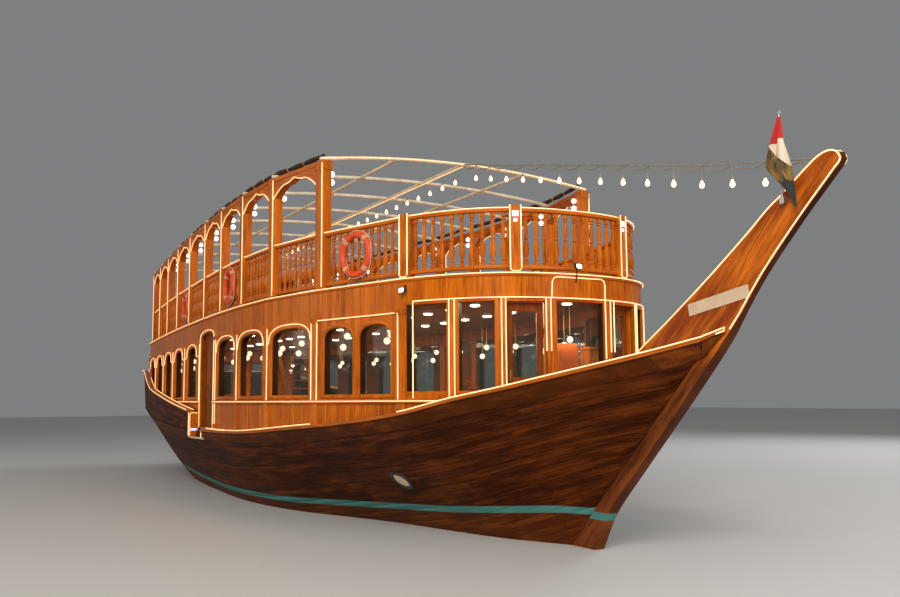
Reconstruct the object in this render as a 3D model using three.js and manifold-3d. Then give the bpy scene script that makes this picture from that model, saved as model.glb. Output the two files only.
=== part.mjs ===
// A two-deck wooden passenger dhow, in millimetres: X runs forward, Y to port and Z up.
// The origin is amidships on the centreline, at the height of the water.
import * as THREE from 'three';
import { mergeVertices } from 'three/addons/utils/BufferGeometryUtils.js';
import Module from 'manifold-3d';

const wasm = await Module();
wasm.setup();

// Gap between pieces that rest on each other, and between a door and its frame
const SEAT = 0.4;
const DOOR_GAP = 10;

// Posts of the passenger decks: the foremost post, then four short bays and five long ones
const FIRST_POST_X = 4500;
const BAYS = [1620, 1620, 1620, 1620, 1870, 1870, 1870, 1870, 1870];
const POST_X = BAYS.reduce((xs, bay) => [...xs, xs[xs.length - 1] - bay], [FIRST_POST_X]);
const LAST_POST_X = POST_X[POST_X.length - 1];
const SHORT_BAYS = 4;
const DOOR_BAY = 3;

// The house: half-breadths where it is widest and at its ends, and how far its front bows out
const HOUSE = { half: 3110, widestX: 700, foreHalf: 2730, aftHalf: 2310, bow: 3450 };
const WALL = 60;
const PROUD = 25;
const INNER_FACE = WALL + PROUD;

// Heights above the water
const SALOON_FLOOR = 1200;
const FOREDECK = 1600;
const AFTERDECK = 1500;
const DECK_UNDER = 3700;
const DECK_TOP = 3870;
const RAIL_TOP = 4820;
const ROOF_EDGE = 6040;
const ROOF_CROWN = 6300;
const SKY = 20000;

// Planking of the hull, as a table of its lines from stern to stem
const LINES = [
  // x, half-breadth and height of the top edge, height of the lower edge, power of the section
  [-12500, 2200, 1900, 300, 0.5],
  [-11000, 2450, 1812, -170, 0.5],
  [-9500, 2660, 1726, -580, 0.5],
  [-8000, 2860, 1651, -890, 0.49],
  [-6500, 3000, 1588, -1020, 0.46],
  [-3500, 3200, 1493, -1050, 0.43],
  [-500, 3250, 1450, -1050, 0.4],
  [1800, 3165, 1475, -1050, 0.56],
  [4500, 2790, 1640, -1050, 1.08],
  [5700, 2560, 1730, -960, 1.2],
  [6830, 2290, 1865, -700, 1.3],
  [7590, 1960, 2036, -150, 1.3],
  [8300, 1620, 2172, 535, 1.3],
  [9040, 1215, 2335, 1230, 1.3],
  [9560, 850, 2465, 1720, 1.3],
  [10090, 480, 2600, 2220, 1.3],
  [10650, 95, 2757, 2742, 1.3],
];
const [HALF, TOP, LOW, POWER] = [1, 2, 3, 4];
const BOW_X = LINES[LINES.length - 1][0];
const TIMBER_HALF = 80;
const PROW = { half: 45, from: 2570, to: 3050 };
const KEEL_BOTTOM = -1400;
const BULWARK = 60;
const CAP = { thick: 50, out: 50 };
const GATE = { foreX: -900, aftX: -2100, sill: 1300 };

const smooth = (t) => {
  const c = Math.min(1, Math.max(0, t));
  return c * c * (3 - 2 * c);
};

// A column of the hull's lines at x, on a smooth curve through the rows
function line(column, x) {
  const last = LINES.length - 1;
  const slope = (i) => {
    const [a, b] = [LINES[Math.max(0, i - 1)], LINES[Math.min(last, i + 1)]];
    return (b[column] - a[column]) / (b[0] - a[0]);
  };
  const found = LINES.findIndex((row) => row[0] >= x);
  const i = found < 0 ? last : Math.max(1, found);
  const [a, b] = [LINES[i - 1], LINES[i]];
  const run = b[0] - a[0];
  const t = (x - a[0]) / run;
  const [t2, t3] = [t * t, t * t * t];
  return (2 * t3 - 3 * t2 + 1) * a[column] + (t3 - 2 * t2 + t) * run * slope(i - 1)
    + (3 * t2 - 2 * t3) * b[column] + (t3 - t2) * run * slope(i);
}

function hullHalf(x, z) {
  const low = line(LOW, x);
  const u = Math.min(1, Math.max(0, (z - low) / (line(TOP, x) - low)));
  return TIMBER_HALF + (line(HALF, x) - TIMBER_HALF) * u ** line(POWER, x);
}

function houseHalf(x) {
  const { half, widestX, foreHalf, aftHalf } = HOUSE;
  if (x >= widestX) return half - (half - foreHalf) * ((x - widestX) / (FIRST_POST_X - widestX)) ** 3;
  return half - (half - aftHalf) * ((widestX - x) / (widestX - LAST_POST_X)) ** 1.5;
}

// The bowed front of the house: how far forward it stands at a distance y off the centreline
function houseFront(y) {
  const r = (y / HOUSE.foreHalf) ** 2;
  return FIRST_POST_X + HOUSE.bow * (1 - 0.29 * r - 0.71 * r * r);
}

// Height of the bulwark abaft the boarding gates, level round the transom
function bulwarkTop(x) {
  const at = Math.max(x, -12000);
  return 1850 + 0.085 * (-2300 - at) + 430 * (Math.max(0, -8500 - at) / 4000) ** 2;
}

// Making solids

function solid(geometry) {
  const bare = geometry.clone();
  bare.deleteAttribute('normal');
  bare.deleteAttribute('uv');
  const merged = mergeVertices(bare, 1e-3);
  return new wasm.Manifold(
    new wasm.Mesh({
      numProp: 3,
      vertProperties: new Float32Array(merged.attributes.position.array),
      triVerts: new Uint32Array(merged.index.array),
    }),
  );
}

const join = (...pieces) => pieces.flat(2).reduce((a, b) => a.add(b));
const cut = (body, ...tools) => tools.flat(2).reduce((a, b) => a.subtract(b), body);
const shape = (points) => new THREE.Shape(points.map(([a, b]) => new THREE.Vector2(a, b)));

function block([x0, x1], [y0, y1], [z0, z1]) {
  const block = new THREE.BoxGeometry(x1 - x0, y1 - y0, z1 - z0);
  return block.translate((x0 + x1) / 2, (y0 + y1) / 2, (z0 + z1) / 2);
}

const box = (...sides) => solid(block(...sides));

// An upright rod from z0 to z1
function rod(x, y, [z0, z1], radius, sides = 10) {
  const upright = new THREE.CylinderGeometry(radius, radius, z1 - z0, sides).rotateX(Math.PI / 2);
  return upright.translate(x, y, (z0 + z1) / 2);
}

// A rod or cone along X, from x0 to x1
function shaft([x0, x1], y, z, r0, r1 = r0) {
  const lengthwise = new THREE.CylinderGeometry(r1, r0, x1 - x0, 16).rotateZ(-Math.PI / 2);
  return solid(lengthwise.translate((x0 + x1) / 2, y, z));
}

// A plan outline raised from z0 to z1
function prism(points, z0, z1) {
  const block = new THREE.ExtrudeGeometry(shape(points), { depth: z1 - z0, bevelEnabled: false });
  return solid(block.translate(0, 0, z0));
}

// An outline of distance and height, given a thickness from y0 inwards
function plate(drawing, y0, thick) {
  const made = new THREE.ExtrudeGeometry(drawing, { depth: thick, bevelEnabled: false, curveSegments: 4 });
  return made.rotateX(Math.PI / 2).translate(0, y0 + thick, 0);
}

const slab = (points, half) => solid(plate(shape(points), -half, 2 * half));

// A closed skin over loops of equal length, each end closed across its loop
function loft(loops) {
  const n = loops[0].length;
  const last = (loops.length - 1) * n;
  const faces = [];
  const quad = (a, b, c, d) => faces.push([a, b, c], [a, c, d]);
  for (let start = 0; start < last; start += n) {
    for (let j = 0; j < n; j++) {
      const k = (j + 1) % n;
      quad(start + j, start + k, start + n + k, start + n + j);
    }
  }
  for (let j = 0; j + 1 < n / 2; j++) {
    quad(j, n - 1 - j, n - 2 - j, j + 1);
    quad(last + j, last + j + 1, last + n - 2 - j, last + n - 1 - j);
  }
  const closed = (list) => {
    const geometry = new THREE.BufferGeometry();
    geometry.setAttribute('position', new THREE.Float32BufferAttribute(loops.flat(2), 3));
    return solid(geometry.setIndex(list.flat()));
  };
  const made = closed(faces);
  return made.volume() > 0 ? made : closed(faces.map(([a, b, c]) => [b, a, c]));
}

const between = (body, x0, x1) => body.intersect(box([x0, x1], [-SKY, SKY], [-SKY, SKY]));
const layer = (body, z0, z1) => body.intersect(box([-SKY, SKY], [-SKY, SKY], [z0, z1]));

// Left of the way a line of plan points runs, at point i, as long as keeps the sides of a corner parallel
function leftward(points, i) {
  const way = (a, b) => new THREE.Vector2(b[0] - a[0], b[1] - a[1]).normalize();
  const u = way(points[Math.max(0, i - 1)], points[Math.max(1, i)]);
  const v = way(points[Math.min(points.length - 2, i)], points[Math.min(points.length - 1, i + 1)]);
  const n = new THREE.Vector2(-u.y - v.y, u.x + v.x).normalize();
  return n.divideScalar(n.y * u.x - n.x * u.y);
}

// A strip along plan points, from d0 to d1 to their left, mitred, with its heights at each point
function strip(points, [d0, d1], heights) {
  return loft(points.map((p, i) => {
    const n = leftward(points, i);
    const at = (d, z) => [p[0] + n.x * d, p[1] + n.y * d, z];
    const [z0, z1] = heights(p, i);
    return [at(d0, z0), at(d0, z1), at(d1, z1), at(d1, z0)];
  }));
}

// Plans

const mirrorY = (points) => points.map(([x, y, ...rest]) => [x, -y, ...rest]).reverse();
const facing = (a, b) => Math.atan2(b[1] - a[1], b[0] - a[0]);
const span = (a, b) => Math.hypot(b[0] - a[0], b[1] - a[1]);

// A piece drawn along a straight stretch of wall, with y inwards, set in its place
const onWall = (geometry, from, to) =>
  solid(geometry.rotateZ(facing(from, to)).translate(from[0], from[1], 0));

// A closed plan, counter-clockwise from above, moved inwards by d with mitred corners
function inset(plan, d) {
  const round = [plan[plan.length - 1], ...plan, plan[0]];
  return plan.map((p, i) => {
    const n = leftward(round, i + 1);
    return [p[0] + n.x * d, p[1] + n.y * d];
  });
}

// Points of a line cut short by a length at both ends
function trimmed(points, length) {
  const move = (a, b) => {
    const t = length / span(a, b);
    return [a[0] + (b[0] - a[0]) * t, a[1] + (b[1] - a[1]) * t];
  };
  const n = points.length - 1;
  return [move(points[0], points[1]), ...points.slice(1, n), move(points[n], points[n - 1])];
}

// Starboard points from the stern forward, then the bowed front, which turns at these half-breadths
const sidePosts = [...POST_X].reverse().map((x) => [x, -houseHalf(x)]);
const frontPoints = (halves) => halves.map((y) => [houseFront(y), -y]);
const plan = (halves) => {
  const right = [...sidePosts, ...frontPoints(halves)];
  return [...right, ...mirrorY(right)];
};
const housePlan = plan([2120, 1680, 1170, 500]);
const deckPlan = plan([2120, 1550, 970, 450]);
const P0 = sidePosts.length - 1;

// How far out the house stands at x, from the last post to the corner of the front
function houseEdge(x) {
  const i = Math.max(1, housePlan.findIndex(([px]) => px >= x));
  const [[x0, y0], [x1, y1]] = [housePlan[i - 1], housePlan[i]];
  return -(y0 + ((y1 - y0) * (x - x0)) / (x1 - x0));
}

// Hull

const STATIONS = [
  ...LINES.map(([x]) => x), -12000, -11330, -10250, -5000, -2000, 650, 3150, 5100, 6300, 7200,
].sort((a, b) => a - b);
const LEVELS = [0, 0.02, 0.07, 0.17, 0.33, 0.54, 0.77, 1];

// The transom leans aft as it rises, and the planking near it follows
const raked = (x, z) => x - 0.1 * smooth((-11000 - x) / 1500) * (z - 300);

// A column of the lines at x, straight from station to station as the hull's solid is
function straight(column, x) {
  const i = Math.min(STATIONS.length - 1, Math.max(1, STATIONS.findIndex((station) => station >= x)));
  const [x0, x1] = [STATIONS[i - 1], STATIONS[i]];
  const [z0, z1] = [line(column, x0), line(column, x1)];
  return z0 + ((z1 - z0) * (x - x0)) / (x1 - x0);
}

const ledge = (x) => straight(TOP, x);

// One section, up the starboard side and down the port side
function section(x, heights, inwards = 0) {
  const right = heights.map((z) => [raked(x, z), Math.min(-1, inwards - hullHalf(x, z)), z]);
  return [...right, ...mirrorY(right)];
}

const RUDDER = { x: -11250, stock: 60, foreX: -11060, aftX: -11950, top: -290, bottom: -1270, thick: 90 };
const PROP = { x: -10470, z: -860, r: 400, boss: 75, shaft: 35, deadwoodX: -10280 };
const ENGINE = { x: [-6900, -5100], y: [-480, 480], z: [-550, 650] };
const SHOE_TOP = -1300;
const KEEL_FORE_X = 6000;
const AFT_WELL = { x: [-12350, -11420], half: 1700 };
const AFT_DOOR = { half: 430, bottom: 1530, head: 3350 };

// The space of the saloon, a distance away from the inside of its walls and of the planking
function saloonSpace(away) {
  const stations = STATIONS.filter((x) => x > LAST_POST_X - 500 && x < 9000);
  const planking = loft(stations.map((x) => {
    const rise = line(TOP, x) - SALOON_FLOOR;
    return section(x, [SALOON_FLOOR, SALOON_FLOOR + rise * 0.5, line(TOP, x), SKY], WALL + away);
  }));
  return prism(inset(housePlan, INNER_FACE + away), SALOON_FLOOR, SKY).intersect(planking);
}

function hull() {
  const body = loft(STATIONS.map((x) => {
    const [low, top] = [line(LOW, x), line(TOP, x)];
    return section(x, LEVELS.map((u) => low + u * (top - low)));
  }));
  const foreDeckX = STATIONS.filter((x) => x > 6800 && x < 9400);
  const foreWell = loft(foreDeckX.map((x) => {
    const rise = line(TOP, x) - FOREDECK;
    return section(x, [FOREDECK, FOREDECK + rise * 0.4, FOREDECK + rise * 0.75, line(TOP, x) + 200], 70);
  }));
  const e = ENGINE;
  const gateInner = houseHalf(-1500) + 50;
  return cut(
    body,
    saloonSpace(0),
    cut(foreWell, prism(housePlan, 0, SKY)),
    box(AFT_WELL.x, [-AFT_WELL.half, AFT_WELL.half], [AFTERDECK, SKY]),
    box([LAST_POST_X - 200, LAST_POST_X + 200], [-AFT_DOOR.half - 20, AFT_DOOR.half + 20], [AFTERDECK, SKY]),
    box([e.x[0] - 250, e.x[1] + 250], [e.y[0] - 200, e.y[1] + 200], [e.z[0] - SEAT, SKY]),
    box([GATE.aftX, GATE.foreX], [-SKY, -gateInner], [GATE.sill, SKY]),
    box([GATE.aftX, GATE.foreX], [gateInner, SKY], [GATE.sill, SKY]),
    solid(rod(RUDDER.x, 0, [-450, 450], RUDDER.stock + 6)),
    frontDoorway(0, [FOREDECK, SKY]),
    frontDoorway(1, [FOREDECK, SKY]),
  );
}

// The sides above the saloon's floor are a solid of their own, seated on the rest of the hull
const lowerHull = (whole) => layer(whole, -SKY, SALOON_FLOOR);
const topsides = (whole) => layer(whole, SALOON_FLOOR + SEAT, SKY);

// Keel with its deadwood, the stern tube and the shoe under the rudder
function keel() {
  const lowAt = (x) => [x, straight(LOW, x) - SEAT];
  const top = STATIONS.filter((x) => x > PROP.deadwoodX && x < KEEL_FORE_X).map(lowAt);
  const heel = RUDDER.x - 220;
  const outline = [
    [heel, KEEL_BOTTOM],
    [KEEL_FORE_X, KEEL_BOTTOM],
    lowAt(KEEL_FORE_X),
    ...top.reverse(),
    lowAt(PROP.deadwoodX),
    [PROP.deadwoodX, SHOE_TOP],
    [heel, SHOE_TOP],
  ];
  return cut(
    join(slab(outline, TIMBER_HALF), shaft([PROP.x + 130, PROP.x + 370], 0, PROP.z, 110, 130)),
    solid(rod(RUDDER.x, 0, [KEEL_BOTTOM - 50, SHOE_TOP + 50], 46)),
    shaft([PROP.x, PROP.x + 450], 0, PROP.z, PROP.shaft + 5),
  );
}

// Front of the stem, from the keel up to the round head of the prow
const CUTWATER = [
  // x, z
  [KEEL_FORE_X + SEAT, KEEL_BOTTOM],
  [6900, -1180],
  [7600, -780],
  [8080, -330],
  [8290, 0],
  [8600, 500],
  [9180, 1080],
  [10190, 2050],
  [10990, 2860],
  [11480, 3440],
  [12050, 4000],
  [12530, 4430],
  [12620, 4520],
  [12590, 4610],
  [12510, 4660],
  [12390, 4660],
  [12240, 4600],
  [11850, 4350],
];
const PROW_SEAM = [
  // x, z, where the fin meets the stem
  [11800, 4270],
  [11270, 3700],
  [10700, 2790],
];

// Above the sheer the timbers of the prow draw in on both sides to a thinner head
function drawnIn(timber) {
  const wide = TIMBER_HALF + 20;
  const side = [[wide, -SKY], [wide, PROW.from], [PROW.half, PROW.to], [PROW.half, SKY]];
  const across = shape([...side, ...side.map(([y, z]) => [-y, z]).reverse()]);
  const along = new THREE.ExtrudeGeometry(across, { depth: SKY, bevelEnabled: false });
  return timber.intersect(solid(along.rotateX(Math.PI / 2).rotateZ(Math.PI / 2)));
}

function stemPost() {
  const back = STATIONS.filter((x) => x > KEEL_FORE_X).reverse().map((x) => [x + SEAT, line(LOW, x) - SEAT]);
  const foot = [KEEL_FORE_X + SEAT, straight(LOW, KEEL_FORE_X) - SEAT];
  return drawnIn(slab([...CUTWATER, ...PROW_SEAM, ...back, foot], TIMBER_HALF));
}

// The raised board that joins the foredeck to the head of the prow
function prowFin() {
  const aftX = 9330;
  const base = [aftX, ...STATIONS.filter((x) => x > aftX && x < BOW_X)].map((x) => [x, ledge(x) + SEAT]);
  const seam = [...PROW_SEAM].reverse().map(([x, z]) => [x - 1, z + 1]);
  const edge = [[11790, 4310], [11600, 4200], [11280, 3970], [10610, 3520], [9880, 3060], [aftX, 2700]];
  return drawnIn(slab([...base, ...seam, ...edge], TIMBER_HALF));
}

const NAME_BOARD = { x: 10780, z: 3220, long: 1000, tall: 150, thick: 12, tilt: -0.145 };

function nameBoard() {
  const { x, z, long, tall, thick, tilt } = NAME_BOARD;
  const y = -(PROW.half + SEAT + thick / 2);
  return solid(new THREE.BoxGeometry(long, thick, tall).rotateY(tilt).translate(x, y, z));
}

function rudder() {
  const { x, stock, foreX, aftX, top, bottom, thick } = RUDDER;
  const blade = [[foreX, 20], [aftX, 15], [aftX, -15], [x, -thick / 2], [foreX, -20]];
  return join(
    prism([[foreX, 20], [x, thick / 2], ...blade.slice(1)], bottom, top),
    solid(rod(x, 0, [top - 50, 200], stock)),
    solid(rod(x, 0, [SHOE_TOP + SEAT, bottom + 10], stock)),
    solid(rod(x, 0, [KEEL_BOTTOM + 60, SHOE_TOP + 10], 40)),
  );
}

function propeller() {
  const { x, z, r, boss } = PROP;
  const blades = [0, 1, 2, 3].map((i) => {
    const flat = new THREE.BoxGeometry(24, 190, r - boss + 30);
    const blade = flat.rotateZ(0.6).translate(0, 0, (r + boss - 30) / 2);
    return solid(blade.rotateX((i * Math.PI) / 2).translate(x, 0, z));
  });
  return join(
    shaft([x - 100, x + 100], 0, z, boss - 15, boss),
    shaft([x + 90, x + 130 - SEAT], 0, z, 60),
    shaft([x + 90, x + 400], 0, z, PROP.shaft),
    blades,
  );
}

// Bulwark and cap rails

function sideLoop(x, bottom, top, inner, outer) {
  const half = (z) => line(HALF, x) + 0.04 * (z - line(TOP, x));
  return [
    [raked(x, bottom), -(half(bottom) + outer), bottom],
    [raked(x, top), -(half(top) + outer), top],
    [raked(x, top), inner - half(top), top],
    [raked(x, bottom), inner - half(bottom), bottom],
  ];
}

// A strip round the stern from one boarding gate to the other, mitred at the corners of the transom
function sternStrip(bottom, top, inner, outer) {
  const xs = [GATE.aftX - 50, ...STATIONS.filter((x) => x < GATE.aftX - 100).reverse()];
  const near = xs.map((x) => sideLoop(x, bottom(x), top(x), inner, outer));
  near[near.length - 1] = near[near.length - 1].map(([x, y, z], i) => [x + (i < 2 ? -outer : inner), y, z]);
  return loft([...near, ...near.map((loop) => loop.map(([x, y, z]) => [x, -y, z])).reverse()]);
}

const bulwark = () => sternStrip((x) => ledge(x) + SEAT, bulwarkTop, BULWARK, 0);

function sternCap() {
  return sternStrip((x) => bulwarkTop(x) + SEAT, (x) => bulwarkTop(x) + CAP.thick, BULWARK + 40, CAP.out);
}

// Cap rail along the starboard side, from the boarding gate to the stem
function sideCap() {
  const turns = [GATE.foreX, ...STATIONS, ...POST_X.slice(1), sidePosts[P0][0] + 400];
  const xs = turns.filter((x) => x >= GATE.foreX && x < BOW_X).sort((a, b) => a - b);
  return loft(xs.map((x) => {
    const outer = line(HALF, x) + CAP.out;
    const beside = x < housePlan[P0 + 1][0] ? houseEdge(x) + 15 : 0;
    const inner = Math.max(line(HALF, x) - 90, beside, TIMBER_HALF + 8);
    const z = ledge(x) + SEAT;
    return [[x, -outer, z], [x, -outer, z + CAP.thick], [x, -inner, z + CAP.thick], [x, -inner, z]];
  }));
}

// Walls of the house

const WINDOW = { sill: 2150, spring: 3080, crown: 3310, foreWidth: 1300, aftWidth: 1150 };
const DOOR = { bottom: 1520, spring: 3330, crown: 3500, width: 1250 };
const CORNER_LIGHT = { width: 760, spring: 3020, crown: 3240, apart: 880 };
const FRONT_GLASS = { sill: 2180, head: 3480, margin: 75 };
const FRONT_DOOR = { bottom: FOREDECK + 25, head: 3450, margin: 75 };
const LEAF = 40;

// A closed outline with a rounded head, centred at u
function arched(u, width, bottom, spring, crown) {
  const half = width / 2;
  const path = new THREE.Shape();
  path.moveTo(u - half, bottom);
  path.lineTo(u + half, bottom);
  path.lineTo(u + half, spring);
  path.bezierCurveTo(u + half, crown - 30, u + half / 2, crown, u, crown);
  path.bezierCurveTo(u - half / 2, crown, u - half, crown - 30, u - half, spring);
  path.closePath();
  return path;
}

const oblong = ([u0, u1], [z0, z1]) => shape([[u0, z0], [u1, z0], [u1, z1], [u0, z1]]);

// A wall of the house along plan points, standing on the hull
function wall(points) {
  const turns = points.slice(1).flatMap((to, i) => {
    const from = points[i];
    const [x0, x1] = [from[0], to[0]];
    const crossed = STATIONS.filter(
      (x) => (x - x0 - 30) * (x - x1 + 30) < 0 && (x - x0 + 30) * (x - x1 - 30) < 0,
    );
    const middle = crossed.map((x) => [x, from[1] + ((to[1] - from[1]) * (x - x0)) / (x1 - x0)]);
    return [...(x1 > x0 ? middle : middle.reverse()), to];
  });
  return strip([points[0], ...turns], [PROUD, INNER_FACE], ([x]) => [ledge(x) + SEAT + 2, DECK_UNDER - SEAT]);
}

// The space of an opening drawn on the wall between two plan points
const opening = (drawing, from, to) => onWall(plate(drawing, 0, INNER_FACE + PROUD), from, to);

// A square pilaster at a plan point between two others, and shifted along the wall
function pilaster(before, at, after, width, depth, shift = 0) {
  const angle = facing(before, after);
  const [x, y] = [at[0] + shift * Math.cos(angle), at[1] + shift * Math.sin(angle)];
  const reach = (width / 2) * Math.abs(Math.cos(angle)) + depth * Math.abs(Math.sin(angle));
  const foot = Math.max(ledge(x - reach), ledge(x + reach)) + SEAT;
  const made = block([-width / 2, width / 2], [0, depth], [foot, DECK_UNDER - SEAT]);
  return solid(made.rotateZ(angle).translate(x, y, 0));
}

function sideWall() {
  const openings = sidePosts.slice(1).map((to, i) => {
    const bay = P0 - 1 - i;
    const middle = span(sidePosts[i], to) / 2;
    const width = bay < SHORT_BAYS ? WINDOW.foreWidth : WINDOW.aftWidth;
    const drawing = bay === DOOR_BAY
      ? arched(middle, DOOR.width, DOOR.bottom, DOOR.spring, DOOR.crown)
      : arched(middle, width, WINDOW.sill, WINDOW.spring, WINDOW.crown);
    return opening(drawing, sidePosts[i], to);
  });
  const pieces = [cut(wall(sidePosts), openings)];
  const endShift = 92;
  for (let i = 0; i <= P0; i++) {
    const shift = (i === 0) * endShift - (i === P0) * endShift;
    const [a, b] = [sidePosts[Math.max(0, i - 1)], sidePosts[Math.min(P0, i + 1)]];
    pieces.push(pilaster(a, sidePosts[i], b, 180, 74, shift));
  }
  pieces.push(...hingeLugs(sideDoorFrame()));
  return between(join(pieces), LAST_POST_X, FIRST_POST_X - 2);
}

// The facets of the bowed front from starboard to port, by what each holds
const FACETS = ['corner', 'pane', 'pane', 'door', 'pane', 'door', 'pane', 'pane', 'corner'];
const DOOR_FACETS = [3, 5];
const facet = (i) => [housePlan[P0 + i], housePlan[P0 + i + 1]];

// The space of a front doorway, through the wall and what is under it
function frontDoorway(which, heights) {
  const [from, to] = facet(DOOR_FACETS[which]);
  const { margin } = FRONT_DOOR;
  return onWall(block([margin, span(from, to) - margin], [-200, 300], heights), from, to);
}

function frontWall() {
  const openings = FACETS.flatMap((kind, i) => {
    const length = span(...facet(i));
    if (kind === 'corner') {
      const { width, spring, crown, apart } = CORNER_LIGHT;
      const lights = [-apart / 2, apart / 2].map((u) =>
        arched(length / 2 + u, width, WINDOW.sill, spring, crown));
      return lights.map((light) => opening(light, ...facet(i)));
    }
    const { sill, head, margin } = FRONT_GLASS;
    return kind === 'door' ? [] : [opening(oblong([margin, length - margin], [sill, head]), ...facet(i))];
  });
  const pieces = [cut(wall(housePlan.slice(P0, P0 + FACETS.length + 1)), openings)];
  for (let i = 1; i < FACETS.length; i++) {
    const [before] = facet(i - 1);
    const [at, after] = facet(i);
    pieces.push(pilaster(before, at, after, 110, 58));
  }
  const opened = cut(join(pieces), [0, 1].map((which) => frontDoorway(which, [0, FRONT_DOOR.head])));
  const framed = join(opened, [0, 1].map((which) => hingeLugs(frontDoorFrame(which))));
  return between(framed, FIRST_POST_X + 2, SKY);
}

const AFT_WINDOW = { y: 1250, wide: 800, z: [2250, 3250] };
const about = (centre, size) => [centre - size / 2, centre + size / 2];

// Glass of the aft wall's starboard window
function aftGlass() {
  const x = LAST_POST_X + WALL + SEAT;
  const { y, wide, z: [bottom, head] } = AFT_WINDOW;
  return box([x, x + 8], about(-y, wide + 100), [bottom - 50, head + 50]);
}

function aftWall() {
  const half = houseHalf(LAST_POST_X) - INNER_FACE - 12;
  const foot = ledge(LAST_POST_X) + SEAT;
  const wall = box([LAST_POST_X, LAST_POST_X + WALL], [-half, half], [foot, DECK_UNDER - SEAT]);
  const { half: opening, head } = AFT_DOOR;
  const through = [LAST_POST_X - 50, LAST_POST_X + 100];
  const windows = [-1, 1].map((side) =>
    box(through, about(side * AFT_WINDOW.y, AFT_WINDOW.wide), AFT_WINDOW.z));
  return join(cut(wall, box(through, [-opening, opening], [0, head]), windows), hingeLugs(aftDoorFrame()));
}

// Doors. A frame says where a leaf hangs: its wall, its jambs and its heights, in distance along the wall,
// depth into it and height. An outward door turns about a pin in front of its face, an inward one behind it.

const PIN = { r: 8, off: 9, plate: 30, tall: 90, lug: 50 };

function doorFrame(from, to, [hinge, latch], [bottom, head], inward = false) {
  const face = inward ? INNER_FACE : PROUD;
  const into = inward ? -1 : 1;
  const way = Math.sign(latch - hinge);
  const pin = [hinge + 3 * way, face - into * PIN.off];
  return { from, to, hinge, latch, bottom, head, face, into, way, pin };
}

function sideDoorFrame() {
  const [from, to] = [sidePosts[P0 - 1 - DOOR_BAY], sidePosts[P0 - DOOR_BAY]];
  const middle = span(from, to) / 2;
  return doorFrame(from, to, [middle - DOOR.width / 2, middle + DOOR.width / 2], [DOOR.bottom, DOOR.crown]);
}

function frontDoorFrame(which) {
  const [from, to] = facet(DOOR_FACETS[which]);
  const { margin, bottom, head } = FRONT_DOOR;
  const jambs = [margin, span(from, to) - margin];
  return doorFrame(from, to, which === 0 ? jambs.reverse() : jambs, [bottom, head], true);
}

// The aft wall runs from port to starboard, as the rest of the house goes round
function aftDoorFrame() {
  const reach = 500;
  const x = LAST_POST_X - PROUD;
  const jambs = [reach - AFT_DOOR.half, reach + AFT_DOOR.half];
  return doorFrame([x, reach], [x, -reach], jambs, [AFT_DOOR.bottom, AFT_DOOR.head]);
}

const pinHeights = ({ head }) => [head - 1200, head - 450];

// A flat plate beside the pin, towards the leaf or the jamb
function pinPlate({ pin, face, into }, reach, heights) {
  const along = [pin[0], pin[0] + reach].sort((a, b) => a - b);
  const deep = [pin[1] + into * 2, face + into * 5].sort((a, b) => a - b);
  return block(along, deep, heights);
}

function hingeLugs(frame) {
  const { from, to, pin, way } = frame;
  return pinHeights(frame).flatMap((z) => [
    onWall(rod(pin[0], pin[1], [z - PIN.lug, z - SEAT], PIN.r), from, to),
    onWall(pinPlate(frame, -way * PIN.plate, [z - PIN.lug, z - SEAT]), from, to),
  ]);
}

// A leaf with its hinges
function doorLeaf(frame, drawing) {
  const { from, to, pin, way, face, into } = frame;
  const y0 = into > 0 ? face : face - LEAF;
  const hinges = pinHeights(frame).flatMap((z) => [
    onWall(rod(pin[0], pin[1], [z, z + PIN.tall], PIN.r), from, to),
    onWall(pinPlate(frame, way * PIN.plate, [z, z + PIN.tall]), from, to),
  ]);
  return join(onWall(plate(drawing, y0, LEAF), from, to), hinges);
}

function leafSides({ hinge, latch, way }) {
  return [hinge + 16 * way, latch - DOOR_GAP * way].sort((a, b) => a - b);
}

function saloonDoor() {
  const frame = sideDoorFrame();
  const [u0, u1] = leafSides(frame);
  const { bottom, spring, crown } = DOOR;
  const middle = (u0 + u1) / 2;
  const drawing = arched(middle, u1 - u0, bottom + DOOR_GAP, spring - DOOR_GAP, crown - DOOR_GAP);
  return doorLeaf(frame, drawing);
}

// A square leaf with a light in its upper part
function squareDoor(frame) {
  const [u0, u1] = leafSides(frame);
  const [z0, z1] = [frame.bottom + DOOR_GAP, frame.head - DOOR_GAP];
  const light = plate(oblong([u0 + 90, u1 - 90], [z0 + 750, z1 - 120]), -WALL, 4 * WALL);
  return cut(doorLeaf(frame, oblong([u0, u1], [z0, z1])), onWall(light, frame.from, frame.to));
}

// Glass behind the walls, as a strip along the inner face from one plan point to another
function glassStrip(first, last, heights, trim) {
  const inner = inset(housePlan, INNER_FACE + SEAT).slice(first, last + 1);
  return strip(trimmed(inner, trim), [0, 8], () => heights);
}

// Inside the saloon: the floor with its steps, and a row of tables and benches down each side

const FLOOR = 30;
const FLOOR_TOP = SALOON_FLOOR + SEAT + FLOOR;
const TABLE = {
  x: [-9900, -5200, -3000, 200, 2300], aside: 1000, high: 740, top: 30, long: 700, wide: 950, leg: 60,
};
const BENCH = { high: 440, deep: 400, apart: 720 };
const RUNNER = { half: 50, thick: 8 };

function saloonFloor() {
  const sunk = FLOOR_TOP - 5;
  return join(
    layer(saloonSpace(10), SALOON_FLOOR + SEAT, FLOOR_TOP),
    box([7350, 7590], [-450, 450], [sunk, FLOOR_TOP + 190]),
    box([LAST_POST_X + 110, LAST_POST_X + 400], [-600, 600], [sunk, FLOOR_TOP + 160]),
  );
}

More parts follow.
